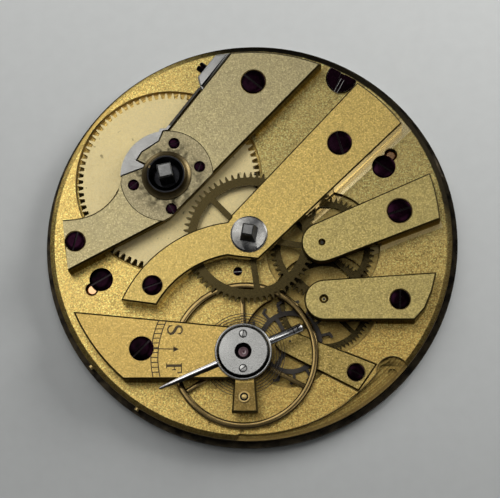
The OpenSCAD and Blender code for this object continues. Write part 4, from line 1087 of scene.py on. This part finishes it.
def balanceTree():
    inputs = [("Rim", "Object"), ("Arm", "Object"), ("Arm Turn", "Float"), ("Material", "Material")]
    tree, given = startTree("balanceWheel", inputs)
    rim = put(tree, "GeometryNodeObjectInfo", {"Object": given["Rim"]}).outputs["Geometry"]
    arm = put(tree, "GeometryNodeObjectInfo", {"Object": given["Arm"]}).outputs["Geometry"]
    points = put(tree, "GeometryNodePoints", {"Count": balance["arms"]}).outputs[0]
    index = tree.nodes.new("GeometryNodeInputIndex").outputs[0]
    turn = total(tree, given["Arm Turn"], product(tree, index, fullTurn / balance["arms"]))
    arms = put(tree, "GeometryNodeInstanceOnPoints", {"Points": points, "Instance": arm,
                                                      "Rotation": turnAbout(tree, turn)}).outputs[0]
    endTree(tree, joinedIn(tree, rim, arms), given)
    return tree


def squarer(value):
    return math.copysign(abs(value) ** balance["roundness"], value)


rimLow, rimHigh = boxOf("balance_wheel")
rimRadius = reachOf("balance_wheel", balanceAxis)
rimMiddle = rimRadius - balance["rimWidth"] / 2
halfWide, halfTall = balance["rimWidth"] / 2, (rimHigh.z - rimLow.z) / 2
rimLevel = (rimHigh.z + rimLow.z) / 2
section = []
for step in range(balance["rimSides"]):
    turn = fullTurn * step / balance["rimSides"]
    aside, rise = halfWide * squarer(math.cos(turn)), halfTall * squarer(math.sin(turn))
    section.append((rimMiddle + aside, rimLevel + rise))
rimWork = lathe(section, segments=192)
hub, bore, edge = balance["hub"], balance["bore"], balance["edge"]
armLow, armHigh = rimLevel - balance["armThick"] / 2, rimLevel + balance["armThick"] / 2
hubWork = lathe([(bore, armLow), (hub - edge, armLow), (hub, armLow + edge), (hub, armHigh - edge),
                 (hub - edge, armHigh), (bore, armHigh)], segments=64)
armLength = rimMiddle - hub + balance["armSunk"]
armWork = boxWork(armLength, balance["armWidth"], balance["armThick"])
longEdges = [e for e in armWork.edges if abs((e.verts[0].co - e.verts[1].co).x) > 1]
bmesh.ops.bevel(armWork, geom=longEdges, offset=edge, segments=2, profile=0.5, affect="EDGES",
                clamp_overlap=True)
moved(armWork, (hub - balance["armSunk"] + armLength / 2, 0, rimLevel))
rimHolder = linked("rimAndHub", meshFrom(joined(rimWork, hubWork), "rimAndHub"))
armHolder = linked("arm", meshFrom(armWork, "arm"))
mesh = runTree(balanceTree(), {"Rim": rimHolder, "Arm": armHolder, "Arm Turn": math.radians(balance["armTurn"]),
                               "Material": finishes["balanceGold"]})
for holder in (rimHolder, armHolder):
    bpy.data.objects.remove(holder)
mesh.transform(Matrix.Translation((balanceAxis.x, balanceAxis.y, 0)))
settle(mesh, "balanceWheel", "balance", ["balance_wheel"], ["balanceGold"], sharpAngle=40)
print("balance and hairspring made")

# The regulator: a round-topped ring, a needle and a short arm, both half round.
# The needle's faces that turn toward -Y take dark steel as painted shade.
# Needle and arm are given as stations of (distance, half width) from the balance's axis.
regulator = {"needleTurn": 203.2, "armTurn": 22.9, "ringWidth": 0.23, "ringGap": 0.03, "ringSteps": 10,
             "sides": 14, "tall": 0.985, "rootInset": 0.1,
             "needle": ((7.0, 0.29), (9.15, 0.13), (9.3, 0.07)), "needleRoot": 0.37, "needleShade": -0.3,
             "arm": ((6.38, 0.46), (6.45, 0.40)), "armRoot": 0.42, "grooveHalf": 0.045, "grooveDepth": 0.12,
             "grooves": (((4.9, 0.12), (6.3, 0.16)), ((5.5, 0.2), (5.5, -0.4)), ((6.0, 0.3), (6.0, -0.3)))}
regLow, regHigh = boxOf("regulator")
ringInside = reachOf("endstone_cap", balanceAxis) + regulator["ringGap"]
ringOutside = ringInside + regulator["ringWidth"]
tall = (regHigh.z - regLow.z) * regulator["tall"]


def halfRound(root, stations, turn):
    work = bmesh.new()
    rings = []
    for along, wide in ((ringInside + regulator["rootInset"], root), *stations):
        ring = []
        for step in range(regulator["sides"] + 1):
            a = math.pi * step / regulator["sides"]
            level = regLow.z + min(wide, tall) * math.sin(a)
            ring.append(work.verts.new((along, -wide * math.cos(a), level)))
        rings.append(ring)
    for here, there in zip(rings, rings[1:]):
        for k in range(len(here) - 1):
            work.faces.new((here[k], there[k], there[k + 1], here[k + 1]))
        work.faces.new((here[-1], there[-1], there[0], here[0]))
    work.faces.new(rings[0])
    work.faces.new(rings[-1])
    bmesh.ops.recalc_face_normals(work, faces=work.faces)
    return moved(work, (0, 0, 0), math.radians(turn))


ringHalf = regulator["ringWidth"] / 2
ringTop = []
for step in range(regulator["ringSteps"] + 1):
    a = math.pi * step / regulator["ringSteps"]
    ringTop.append((ringInside + ringHalf * (1 - math.cos(a)), regHigh.z - ringHalf * (1 - math.sin(a))))
ringWork = lathe([(ringInside, regLow.z), *ringTop, (ringOutside, regLow.z)], segments=160)
needle = halfRound(regulator["needleRoot"], regulator["needle"], regulator["needleTurn"])
for face in needle.faces:
    face.material_index = 3 if face.normal.y < regulator["needleShade"] else 0
arm = halfRound(regulator["armRoot"], regulator["arm"], regulator["armTurn"])
grooveLines = [[(x, y, regulator["grooveHalf"]) for x, y in groove] for groove in regulator["grooves"]]
grooves = painted(strokes(grooveLines, regHigh.z - regulator["grooveDepth"], regHigh.z), 2)
moved(grooves, (0, 0, 0), math.radians(regulator["armTurn"]))
whole = moved(joined(painted(ringWork, 1), needle, arm, grooves), (balanceAxis.x, balanceAxis.y, 0))
settle(meshFrom(whole, "regulator"), "regulatorNeedle", "regulator", ["regulator"],
       ["needleSteel", "satinSteel", "blackSteel", "darkSteel"], sharpAngle=40)
print("regulator made")

# The balance cock's scale: twelve divisions between two arcs, an arrow, and a letter at each end.
# An arc's ends are (radius, angle) about the balance's axis; a letter's points are (u, v, half width).
scale = {"rightArc": ((8.51, 156.5), (8.82, 196.3)), "leftArc": ((9.27, 158.5), (9.51, 195.1)), "arcSteps": 24,
         "divisions": 12, "line": 0.055, "arrow": ((-9.74, -11.80), (-7.14, -11.87)), "arrowHead": 0.55,
         "arrowHalf": 0.3, "arrowTip": 0.01, "shaftEnd": 0.2, "sAt": (-7.54, -9.89), "fAt": (-7.61, -13.81),
         "letterHeight": 1.6, "letterWidth": 1.1, "bold": 0.025, "depth": 0.02, "rise": 0.004}
letterS = [[(0.86, 0.66, 0.03), (0.86, 0.90, 0.03)],
           [(0.86, 0.78, 0.03), (0.72, 0.93, 0.05), (0.45, 0.97, 0.06), (0.20, 0.88, 0.09), (0.15, 0.72, 0.11),
            (0.30, 0.58, 0.12), (0.55, 0.49, 0.13), (0.80, 0.37, 0.12), (0.87, 0.22, 0.10), (0.72, 0.07, 0.07),
            (0.45, 0.03, 0.05), (0.22, 0.09, 0.05), (0.10, 0.24, 0.03)],
           [(0.10, 0.10, 0.03), (0.10, 0.34, 0.03)]]
letterF = [[(0.28, 0.02, 0.11), (0.28, 0.98, 0.11)], [(0.06, 0.03, 0.03), (0.52, 0.03, 0.03)],
           [(0.06, 0.97, 0.03), (0.96, 0.97, 0.03)], [(0.94, 0.98, 0.03), (0.94, 0.72, 0.05)],
           [(0.30, 0.52, 0.03), (0.66, 0.52, 0.03)], [(0.66, 0.40, 0.04), (0.66, 0.64, 0.04)]]


def onScale(arc, share):
    (r0, a0), (r1, a1) = scale[arc]
    r, a = r0 + (r1 - r0) * share, math.radians(a0 + (a1 - a0) * share)
    return balanceAxis.x + r * math.cos(a), balanceAxis.y + r * math.sin(a), scale["line"]


def lettered(letter, place):
    size, wide, bold = scale["letterHeight"], scale["letterWidth"], scale["bold"]
    return [[(place[0] + (v - 0.5) * size, place[1] - (u - 0.5) * wide, half + bold) for u, v, half in path]
            for path in letter]


arcs = ("leftArc", "rightArc")
paths = [[onScale(arc, k / scale["arcSteps"]) for k in range(scale["arcSteps"] + 1)] for arc in arcs]
paths += [[onScale(arc, k / scale["divisions"]) for arc in arcs] for k in range(1, scale["divisions"])]
(ax, ay), (bx, by) = scale["arrow"]
paths += [[(ax, ay, scale["line"]), (bx - scale["shaftEnd"], by, scale["line"])],
          [(bx - scale["arrowHead"], by, scale["arrowHalf"]), (bx, by, scale["arrowTip"])]]
paths += lettered(letterS, scale["sAt"]) + lettered(letterF, scale["fAt"])
cockMarks = meshFrom(painted(strokes(paths, barTop - scale["depth"], barTop + scale["rise"]), 3), "cockMarks")

# The dial's face: enamel below the plate, with hour numerals and a minute track printed on it
dialPrint = {"face": 0.012, "ink": 0.004, "sunk": 0.02, "trackOuter": 19.6, "trackInner": 18.9,
             "trackHalf": 0.05, "tickWidth": 0.1, "minutes": 60, "numeralMiddle": 15.6, "numeralHeight": 4.2,
             "thick": 0.24, "thin": 0.06, "pitch": 0.85, "wide": 2.1, "side": 0.25}
inkLow, inkTop = dialPrint["ink"], dialPrint["face"] + dialPrint["sunk"]
dialLow, dialHigh = boxOf("dial")
dialReach = reachOf("dial", Vector((0, 0)))
hourNames = ("XII", "I", "II", "III", "IIII", "V", "VI", "VII", "VIII", "IX", "X", "XI")


# A numeral's strokes in its own frame: right along x, up along y
def numeralStrokes(word):
    tallHalf, thick, thin = dialPrint["numeralHeight"] / 2, dialPrint["thick"], dialPrint["thin"]
    pitch, side = dialPrint["pitch"], dialPrint["pitch"] * dialPrint["side"]
    widths = {"I": pitch, "V": pitch * dialPrint["wide"], "X": pitch * dialPrint["wide"]}
    half = sum(widths[c] for c in word) / 2
    found = []

    def stroke(topX, footX, weight):
        found.append([(topX, tallHalf, weight), (footX, -tallHalf, weight)])

    x = -half
    for c in word:
        left, right, middle = x + side, x + widths[c] - side, x + widths[c] / 2
        if c == "I":
            stroke(middle, middle, thick)
        elif c == "V":
            stroke(left, middle, thick)
            stroke(right, middle, thin)
        else:
            stroke(left, right, thick)
            stroke(right, left, thin)
        x += widths[c]
    return found + [[(-half, level, thin), (half, level, thin)] for level in (tallHalf, -tallHalf)]


def numeralPaths():
    paths = []
    for hour, word in enumerate(hourNames):
        turn = fullTurn * hour / len(hourNames)
        up = Vector((-math.sin(turn), math.cos(turn)))
        across = Vector((-math.cos(turn), -math.sin(turn)))
        for path in numeralStrokes(word):
            placed = [up * (dialPrint["numeralMiddle"] + y) + across * x for x, y, _ in path]
            paths.append([(p.x, p.y, half) for p, (_, _, half) in zip(placed, path)])
    return paths


def trackRing(radius):
    inside, outside = radius - dialPrint["trackHalf"], radius + dialPrint["trackHalf"]
    return lathe([(inside, inkLow), (outside, inkLow), (outside, inkTop), (inside, inkTop)], segments=180)


# The enamel rounds off toward the rim
dialEdge = {"flatInset": 0.25, "roundInset": 0.08, "roundRise": 0.06, "sideRise": 0.2}
dialBore = min((v.co.xy / millimetre).length for v in cadNodes["dial"].data.vertices)
enamelDisc = lathe([(dialBore, dialPrint["face"]), (dialReach - dialEdge["flatInset"], dialPrint["face"]),
                    (dialReach - dialEdge["roundInset"], dialLow.z + dialEdge["roundRise"]),
                    (dialReach, dialLow.z + dialEdge["sideRise"]), (dialReach, dialHigh.z),
                    (dialBore, dialHigh.z)], segments=192)
trackOuter, trackInner = dialPrint["trackOuter"], dialPrint["trackInner"]
tickWork = boxWork(trackOuter - trackInner, dialPrint["tickWidth"], inkTop - inkLow)
moved(tickWork, ((trackOuter + trackInner) / 2, 0, 0))
minutes = dialPrint["minutes"]
ticks = setOnPoints(meshFrom(tickWork, "tick"), [(0, 0, (inkLow + inkTop) / 2)] * minutes,
                    [360 / minutes * k for k in range(minutes)], "ink")
inkWork = joined(strokes(numeralPaths(), inkLow, inkTop), trackRing(trackOuter), trackRing(trackInner))
inkWork.from_mesh(ticks)
enamelDisc.from_mesh(meshFrom(painted(inkWork, 1), "dialInk"))
settle(meshFrom(enamelDisc, "dialFace"), "dialFace", cadNodes["dial"]["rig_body"], ["dial"], ["enamel", "ink"])
print("dial printed")

# Bars, cocks and steel work with broken edges
pivotReach = 0.95
pivots = (thirdAxis, fourthAxis, escapeAxis, centreAxis, balanceAxis)
spared = screwPlaces + [(axis, pivotReach) for axis in pivots]
capReach = reachOf("ratchet_cap", barrelAxis)
settingReach = reachOf("setting_arbor", centreAxis)
darkInside = {"collar": 1.6, "collarFacing": -0.2, "settingShare": 0.62, "settingLevel": 0.31}
cupSlope = (0.05, 0.98)


# Finishes for single faces: each takes a face's normal, its middle and the usual choice
def collarFinish(normal, middle, usual):
    outward = middle.xy - barrelAxis.xy
    facesIn = normal.xy.dot(outward.normalized()) < darkInside["collarFacing"]
    return 1 if facesIn or outward.length < darkInside["collar"] else 0


def settingFinish(normal, middle, usual):
    nearSquare = (middle.xy - centreAxis.xy).length < settingReach * darkInside["settingShare"]
    return 1 if nearSquare and middle.z > barTop + darkInside["settingLevel"] else 0


# The oil cups round the pivots take the sinks' painted shade
def cockFinish(normal, middle, usual):
    nearPivot = any((middle.xy - axis.xy).length < pivotReach for axis in (thirdAxis, fourthAxis))
    return 4 if nearPivot and cupSlope[0] < normal.z < cupSlope[1] else usual


plateFaces = {"sinkMargin": 0.8, "rimInset": 0.15, "edgeInset": 0.7, "deepest": 1.2}


def plateFinish(normal, middle, usual):
    inSink = (middle.xy - barrelAxis.xy).length < barrelReach + plateFaces["sinkMargin"]
    fromMiddle = middle.xy.length
    if usual == 2 and inSink and fromMiddle < plateRadius - plateFaces["rimInset"]:
        return 1
    atEdge = fromMiddle > plateRadius - plateFaces["edgeInset"]
    return 0 if atEdge or middle.z < plateTop - plateFaces["deepest"] else usual


# The centre bridge's bar and tail meet in one corner below its hub
hubCorner = {"from": Vector((-1.5, -2.3)), "corner": Vector((0.97, -2.6)), "to": Vector((2.35, -1.28)),
             "reach": (2.5, 2.8), "margin": 0.1, "weld": 0.03}


def reshapeHub(work):
    start, corner, end = (math.atan2(hubCorner[key].y, hubCorner[key].x) for key in ("from", "corner", "to"))
    nearest, furthest = hubCorner["reach"]
    for vert in work.verts:
        turn = math.atan2(vert.co.y, vert.co.x)
        inside = start - hubCorner["margin"] < turn < end + hubCorner["margin"]
        if not inside or not nearest < vert.co.xy.length < furthest:
            continue
        if turn < corner:
            place = hubCorner["from"].lerp(hubCorner["corner"], max(0, (turn - start) / (corner - start)))
        else:
            place = hubCorner["corner"].lerp(hubCorner["to"], min(1, (turn - corner) / (end - corner)))
        vert.co.x, vert.co.y = place
    bmesh.ops.remove_doubles(work, verts=work.verts, dist=hubCorner["weld"])


# A cock's sides run straight off its round end: shallow hollows of the outline are drawn out
def drawOut(work, hollow=0.45):
    places = [v.co.xy for v in work.verts]
    outline = [places[k] for k in convex_hull_2d(places)]
    for vert in work.verts:
        best = None
        for a, b in zip(outline, outline[1:] + outline[:1]):
            share = (vert.co.xy - a).dot(b - a) / max((b - a).length_squared, 1e-9)
            foot = a.lerp(b, min(1, max(0, share)))
            if best is None or (vert.co.xy - foot).length < (vert.co.xy - best).length:
                best = foot
        if (vert.co.xy - best).length < hollow:
            vert.co.x, vert.co.y = best


# The low cock sits in its seat with a wider gap along one side
lowGap = {"side": Vector((-0.446, -0.895)), "width": 0.17, "band": 0.25}


def reshapeLow(work):
    furthest = max(v.co.xy.dot(lowGap["side"]) for v in work.verts)
    for vert in work.verts:
        if vert.co.xy.dot(lowGap["side"]) > furthest - lowGap["band"]:
            vert.co.x -= lowGap["side"].x * lowGap["width"]
            vert.co.y -= lowGap["side"].y * lowGap["width"]


# A flat is cut in two where its finish changes
def cutAcross(place, direction):
    def cut(work):
        everything = work.verts[:] + work.edges[:] + work.faces[:]
        bmesh.ops.bisect_plane(work, geom=everything, plane_co=place, plane_no=direction)
    return cut


# The balance cock's tongue, below the regulator's ring
tongue = {"gap": 0.2, "halfWidth": 2}
tongueFrom = Vector((balanceAxis.x, balanceAxis.y - ringOutside - tongue["gap"], 0))


def tongueFinish(normal, middle, usual):
    onTongue = middle.y < tongueFrom.y and abs(middle.x - tongueFrom.x) < tongue["halfWidth"]
    return 4 if onTongue and usual == 0 else usual


# The click darkens along its blade, and its nose is eased to clear the cap's point when it lifts
clickForm = {"bladeGap": 0.25, "noseFrom": Vector((-10.83, 7.57)), "noseTo": Vector((-10.855, 7.48)),
             "near": 0.05}
footMiddle = (boxOf("click_foot")[0] + boxOf("click_foot")[1]) / 2
bladeAlong = Vector((footMiddle.x - barrelAxis.x, footMiddle.y - barrelAxis.y, 0)).normalized()
bladeFrom = barrelAxis + bladeAlong * (capReach + clickForm["bladeGap"])


def reshapeClick(work):
    cutAcross(bladeFrom, bladeAlong)(work)
    for vert in work.verts:
        if (vert.co.xy - clickForm["noseFrom"]).length < clickForm["near"]:
            vert.co.x, vert.co.y = clickForm["noseTo"]


def clickFinish(normal, middle, usual):
    return 1 if (middle - bladeFrom).dot(bladeAlong) > 0 else usual


# The endstone's cap: a flat with a wide polished bevel painted from black to grey along Y as painted shade,
# and a cone down to the stone painted black as painted shade
capForm = {"flat": 0.22, "shoulder": 0.45, "coneTop": 0.86, "coneFoot": 0.5, "topBand": (0.25, 0.01),
           "edgeBand": (0.05, 0.3), "coneBand": (0.03, 0.1)}
capOutside = reachOf("endstone_cap", balanceAxis)
capTop = boxOf("endstone_cap")[1].z


# Each band is a margin from its radius and a depth below the cap's top
def reshapeCap(work):
    topNear, topDeep = capForm["topBand"]
    edgeNear, edgeDeep = capForm["edgeBand"]
    coneNear, coneDeep = capForm["coneBand"]
    for vert in work.verts:
        outward = vert.co.xy - balanceAxis.xy
        reach = outward.length
        wanted = reach
        if reach > capOutside - topNear and vert.co.z > capTop - topDeep:
            wanted = capOutside - capForm["flat"]
        elif reach > capOutside - edgeNear and vert.co.z > capTop - edgeDeep:
            vert.co.z = capTop - capForm["shoulder"]
        elif reach < capForm["coneTop"] + coneNear and vert.co.z < capTop - coneDeep:
            wanted = capForm["coneFoot"]
        outward *= wanted / reach
        vert.co.x, vert.co.y = balanceAxis.x + outward.x, balanceAxis.y + outward.y


def capFinish(normal, middle, usual):
    if normal.z > 0.95:
        return 0
    return 2 if (middle.xy - balanceAxis.xy).length > capOutside - capForm["flat"] else 1


# Turned pieces, from (radius, level) points; dress picks a material by radius and level
def lathed(node, name, middle, profile, materials, dress):
    work = lathe(profile, segments=96, closed=False)
    work.normal_update()
    for face in work.faces:
        place = face.calc_center_median()
        face.material_index = dress(place.xy.length, place.z)
    moved(work, (middle.x, middle.y, 0))
    settle(meshFrom(work, name), name, cadNodes[node]["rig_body"], [node], materials, sharpAngle=30)


# The stone shows a shallow ring and a small cup: radius and depth below its top
stone = {"radius": 1.05, "cup": 0.07, "foot": 0.05,
         "top": ((0, 0.1), (0.06, 0.09), (0.16, 0.01), (0.28, 0.005), (0.31, 0.05), (0.36, 0.05), (0.4, 0.01),
                 (1.0, 0.01), (1.05, 0.05))}
stoneLow, stoneHigh = boxOf("endstone")


def stoneFinish(reach, level):
    return int(reach < stone["cup"] and level > stoneLow.z + stone["foot"])


stoneProfile = [(radius, stoneHigh.z - depth) for radius, depth in stone["top"]]
stoneProfile += [(stone["radius"], stoneLow.z), (0, stoneLow.z)]
lathed("endstone", "endstone", balanceAxis, stoneProfile, ["ruby", "blackSteel"], stoneFinish)

# The stud is a brass collar about a pin; the groove between them is painted black as painted shade
studRing = {"inside": 0.25, "outside": 0.42, "below": 0.02}
studLow, studHigh = boxOf("hairspring_stud")
studProfile = [(0, studLow.z), (0.35, studLow.z), (0.35, barTop), (0.62, barTop), (0.62, barTop + 0.1),
               (0.54, studHigh.z), (0.43, studHigh.z), (0.36, barTop + 0.08), (0.27, barTop + 0.08),
               (0.25, barTop + 0.15), (0.12, studHigh.z - 0.005), (0, studHigh.z)]


def studFinish(reach, level):
    inRing = studRing["inside"] < reach < studRing["outside"]
    return int(inRing and barTop < level < studHigh.z - studRing["below"])


lathed("hairspring_stud", "hairspringStud", (studLow + studHigh) / 2, studProfile, ["smallBrass", "blackSteel"],
       studFinish)

# The case screw's slot is drawn as two bright steel lines along its edges, as painted highlights
caseSlot = {"middle": Vector((9.36, 16.3)), "along": Vector((0.485, 0.875)), "half": 0.8, "apart": 0.17,
            "line": 0.022, "depth": 0.02, "rise": 0.004}
slotAcross = Vector((-caseSlot["along"].y, caseSlot["along"].x)) * caseSlot["apart"]
slotHalf = caseSlot["along"] * caseSlot["half"]
slotEdges = [[(*(caseSlot["middle"] + slotAcross * side + slotHalf * end), caseSlot["line"]) for end in (-1, 1)]
             for side in (-1, 1)]
caseTop = boxOf("case_screw")[1].z
slotWork = strokes(slotEdges, caseTop - caseSlot["depth"], caseTop + caseSlot["rise"])
caseMarks = meshFrom(painted(slotWork, 1), "caseMarks")

# Bars are broken along their top edges only, other pieces all round
cockMaterials = ["sideCock", "giltBevel", "giltWall", "giltLip", "giltSink"]
bars = {
    "barrel_bridge": {"name": "barrelBridge", "chamfer": 0.18,
                      "spared": spared + [(barrelAxis, capReach + screwForm["clear"])],
                      "materials": ["barrelBridge", "giltBevel", "barrelWall", "giltLip"]},
    "centre_bridge": {"name": "centreBridge", "chamfer": 0.15, "reshape": reshapeHub,
                      "materials": ["centreBridge", "giltBevel", "brightWall", "giltLip"]},
    "third_cock": {"name": "thirdCock", "chamfer": 0.15, "dress": cockFinish, "reshape": drawOut,
                   "materials": cockMaterials},
    "fourth_cock": {"name": "fourthCock", "chamfer": 0.15, "dress": cockFinish, "reshape": drawOut,
                    "materials": cockMaterials},
    "balance_cock": {"name": "balanceCock", "chamfer": 0.18, "dress": tongueFinish, "extra": cockMarks,
                     "reshape": cutAcross(tongueFrom, (0, 1, 0)),
                     "materials": ["balanceCock", "giltBevel", "giltWall", "engraving", "tongue", "giltLip"]},
    "escape_cock": {"name": "lowCock", "chamfer": 0.14, "reshape": reshapeLow,
                    "materials": ["lowCock", "giltBevel", "giltSink", "giltLip"]},
    "ratchet_cap": {"name": "ratchetCap", "chamfer": 0.05, "materials": ["ratchetCap", "giltBevel"]},
    "main_plate": {"name": "mainPlate", "chamfer": 0.06, "dress": plateFinish,
                   "materials": ["plate", "giltLip", "giltSink"]},
    "click_foot": {"name": "clickFoot", "chamfer": 0.26, "segments": 5, "spared": (),
                   "materials": ["clickSteel"]},
}
for node, bar in bars.items():
    chamferedCopy(node, topOnly=True, **{"spared": spared, **bar})
broken = {
    "case_screw": {"name": "caseScrew", "chamfer": 0.06, "extra": caseMarks,
                   "materials": ["blued", "satinSteel"]},
    "click": {"name": "click", "chamfer": 0.03, "dress": clickFinish, "reshape": reshapeClick,
              "materials": ["clickSteel", "darkSteel"]},
    "click_screw": {"name": "clickScrew", "chamfer": 0.05, "materials": ["blued"]},
    "winding_collar": {"name": "windingCollar", "chamfer": 0.03, "dress": collarFinish,
                       "materials": ["dullBrass", "blackSteel"]},
    "barrel_arbor": {"name": "windingArbor", "chamfer": 0.06, "materials": ["squareSteel"]},
    "ratchet_wheel": {"name": "ratchetWheel", "chamfer": 0.02, "materials": ["blackSteel"]},
    "setting_arbor": {"name": "settingArbor", "chamfer": 0.04, "dress": settingFinish,
                      "materials": ["settingSteel", "squareSteel"]},
    "endstone_cap": {"name": "endstoneCap", "chamfer": 0.01, "dress": capFinish, "reshape": reshapeCap,
                     "materials": ["satinSteel", "blackSteel", "capEdge"]},
    "dial_feet": {"name": "dialFeet", "chamfer": 0.2, "materials": ["copper"]},
    "rim_pins": {"name": "rimPins", "chamfer": 0.05, "materials": ["smallBrass"]},
}
for node, piece in broken.items():
    chamferedCopy(node, **piece)
print("edges broken on", len(bars) + len(broken), "pieces")

# What stays as its solid takes a finish of its own
plain = {
    "barrelFace": ("barrel_cover",), "springSteel": ("mainspring",), "hourWheel": ("hour_wheel",),
    "steel": ("centre_pinion", "cannon_pinion", "minute_pinion", "minute_post", "balance_cylinder"),
    # painted shade: the pinions and the escape wheel take dark steel for the shade they lie in under the cocks
    "darkSteel": ("third_pinion", "fourth_pinion", "escape_pinion"), "springBlue": ("escape_wheel",),
    "smallBrass": ("hairspring_collet", "curb_pins", "steady_pins"), "lowCock": ("chariot",),
    "ruby": ("upper_balance_jewel", "lower_balance_jewel"), "blued": ("chariot_screw",),
}
for material, nodes in plain.items():
    for node in nodes:
        cadNodes[node].data.materials.clear()
        cadNodes[node].data.materials.append(finishes[material])
print("plain solids finished:", sum(len(nodes) for nodes in plain.values()))

# Studio: a pale floor whose colour brightens behind as painted light, and a dim sky with its glow to the upper
# left
studio = {"floorSize": 3.0, "near": (0.55, 0.57, 0.575), "far": (0.79, 0.815, 0.82), "reach": 30, "rough": 0.8,
          "fibres": 700, "fibreShade": (0.97, 0.97, 0.97), "horizon": (0.05, 0.05, 0.05),
          "window": (0.22, 0.22, 0.22), "windowAt": (-0.40, 0.25, 0.88), "windowFrom": 0.5}
floorMesh = bpy.data.meshes.new("floor")
span = studio["floorSize"] / 2
corners = [(-span, -span, 0), (span, -span, 0), (span, span, 0), (-span, span, 0)]
floorMesh.from_pydata(corners, [], [(0, 1, 2, 3)])
floor = linked("floor", floorMesh)
material, tree, shader, place = startMaterial("floorPaper", Roughness=studio["rough"])
behind = rangedAt(tree, coordinate(tree, place, "Y"), -studio["reach"], studio["reach"])
paper = mixOf(tree, behind, studio["near"], studio["far"])
fibre = clouded(tree, grainOf(tree, place, studio["fibres"], 3), studio["fibreShade"], (1, 1, 1))
feed(tree, shader, mixOf(tree, 1.0, paper, fibre, "MULTIPLY"))
floorMesh.materials.append(material)
floor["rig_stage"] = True

world = bpy.data.worlds.new("studio")
bpy.context.scene.world = world
world.use_nodes = True
tree = world.node_tree
heading = tree.nodes.new("ShaderNodeTexCoord").outputs["Generated"]
toward = vectorCalc(tree, "DOT_PRODUCT", heading, Vector(studio["windowAt"]).normalized())
glow = put(tree, "ShaderNodeMapRange", {"Value": toward, "From Min": studio["windowFrom"], "From Max": 1.0},
           interpolation_type="SMOOTHSTEP").outputs["Result"]
tree.links.new(mixOf(tree, glow, studio["horizon"], studio["window"]), tree.nodes["Background"].inputs["Color"])

# One broad lamp from the upper right, three that only the metal mirrors, and one for the floor
lamps = {
    "sideLamp": {"place": (0.16, 0.12, 0.13), "size": 0.12, "power": 0.27, "onFloor": True, "onMetal": True},
    "windowLamp": {"place": (-0.045, 0.040, 0.150), "size": 0.08, "power": 0.049, "onFloor": False,
                   "onMetal": True},
    "overLamp": {"place": (0.045, -0.015, 0.160), "size": 0.05, "power": 0.014, "onFloor": False,
                 "onMetal": True},
    "rimLamp": {"place": (-0.13, 0.16, 0.065), "size": 0.10, "power": 0.05, "onFloor": False, "onMetal": True},
    "floorLamp": {"place": (-0.05, 0.16, 0.30), "size": 0.30, "power": 0.46, "onFloor": True, "onMetal": False},
}
lampColour = (1.0, 0.985, 0.955)
for name, lamp in lamps.items():
    data = bpy.data.lights.new(name, "AREA")
    data.size = lamp["size"]
    data.energy = lamp["power"]
    data.color = lampColour
    holder = linked(name, data)
    holder.location = lamp["place"]
    holder.rotation_euler = (-Vector(lamp["place"])).to_track_quat("-Z", "Y").to_euler()
    holder.visible_diffuse = lamp["onFloor"]
    holder.visible_glossy = lamp["onMetal"]

# Camera as the photograph was taken: nearly overhead, some 22 centimetres away
shot = {"azimuth": 13.6, "elevation": 77.03, "distance": 220, "focalPixels": 2124.9, "imageWidth": 500,
        "aim": (-0.021, -1.026, 3.2), "clip": (0.001, 10)}
azimuth, elevation = math.radians(shot["azimuth"]), math.radians(shot["elevation"])
outward = math.cos(elevation)
back = Vector((outward * math.sin(azimuth), -outward * math.cos(azimuth), math.sin(elevation)))
right = Vector((0, 1, 0)).cross(back).normalized()
up = back.cross(right)
cameraData = bpy.data.cameras.new("camera")
cameraData.lens = cameraData.sensor_width * shot["focalPixels"] / shot["imageWidth"]
cameraData.clip_start, cameraData.clip_end = shot["clip"]
camera = linked("camera", cameraData)
stand = (Vector(shot["aim"]) + back * shot["distance"]) * millimetre
camera.matrix_world = Matrix.Translation(stand) @ Matrix((right, up, back)).transposed().to_4x4()
bpy.context.scene.camera = camera
bpy.context.scene.view_settings.view_transform = "Standard"

low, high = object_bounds()
print("scene ready")
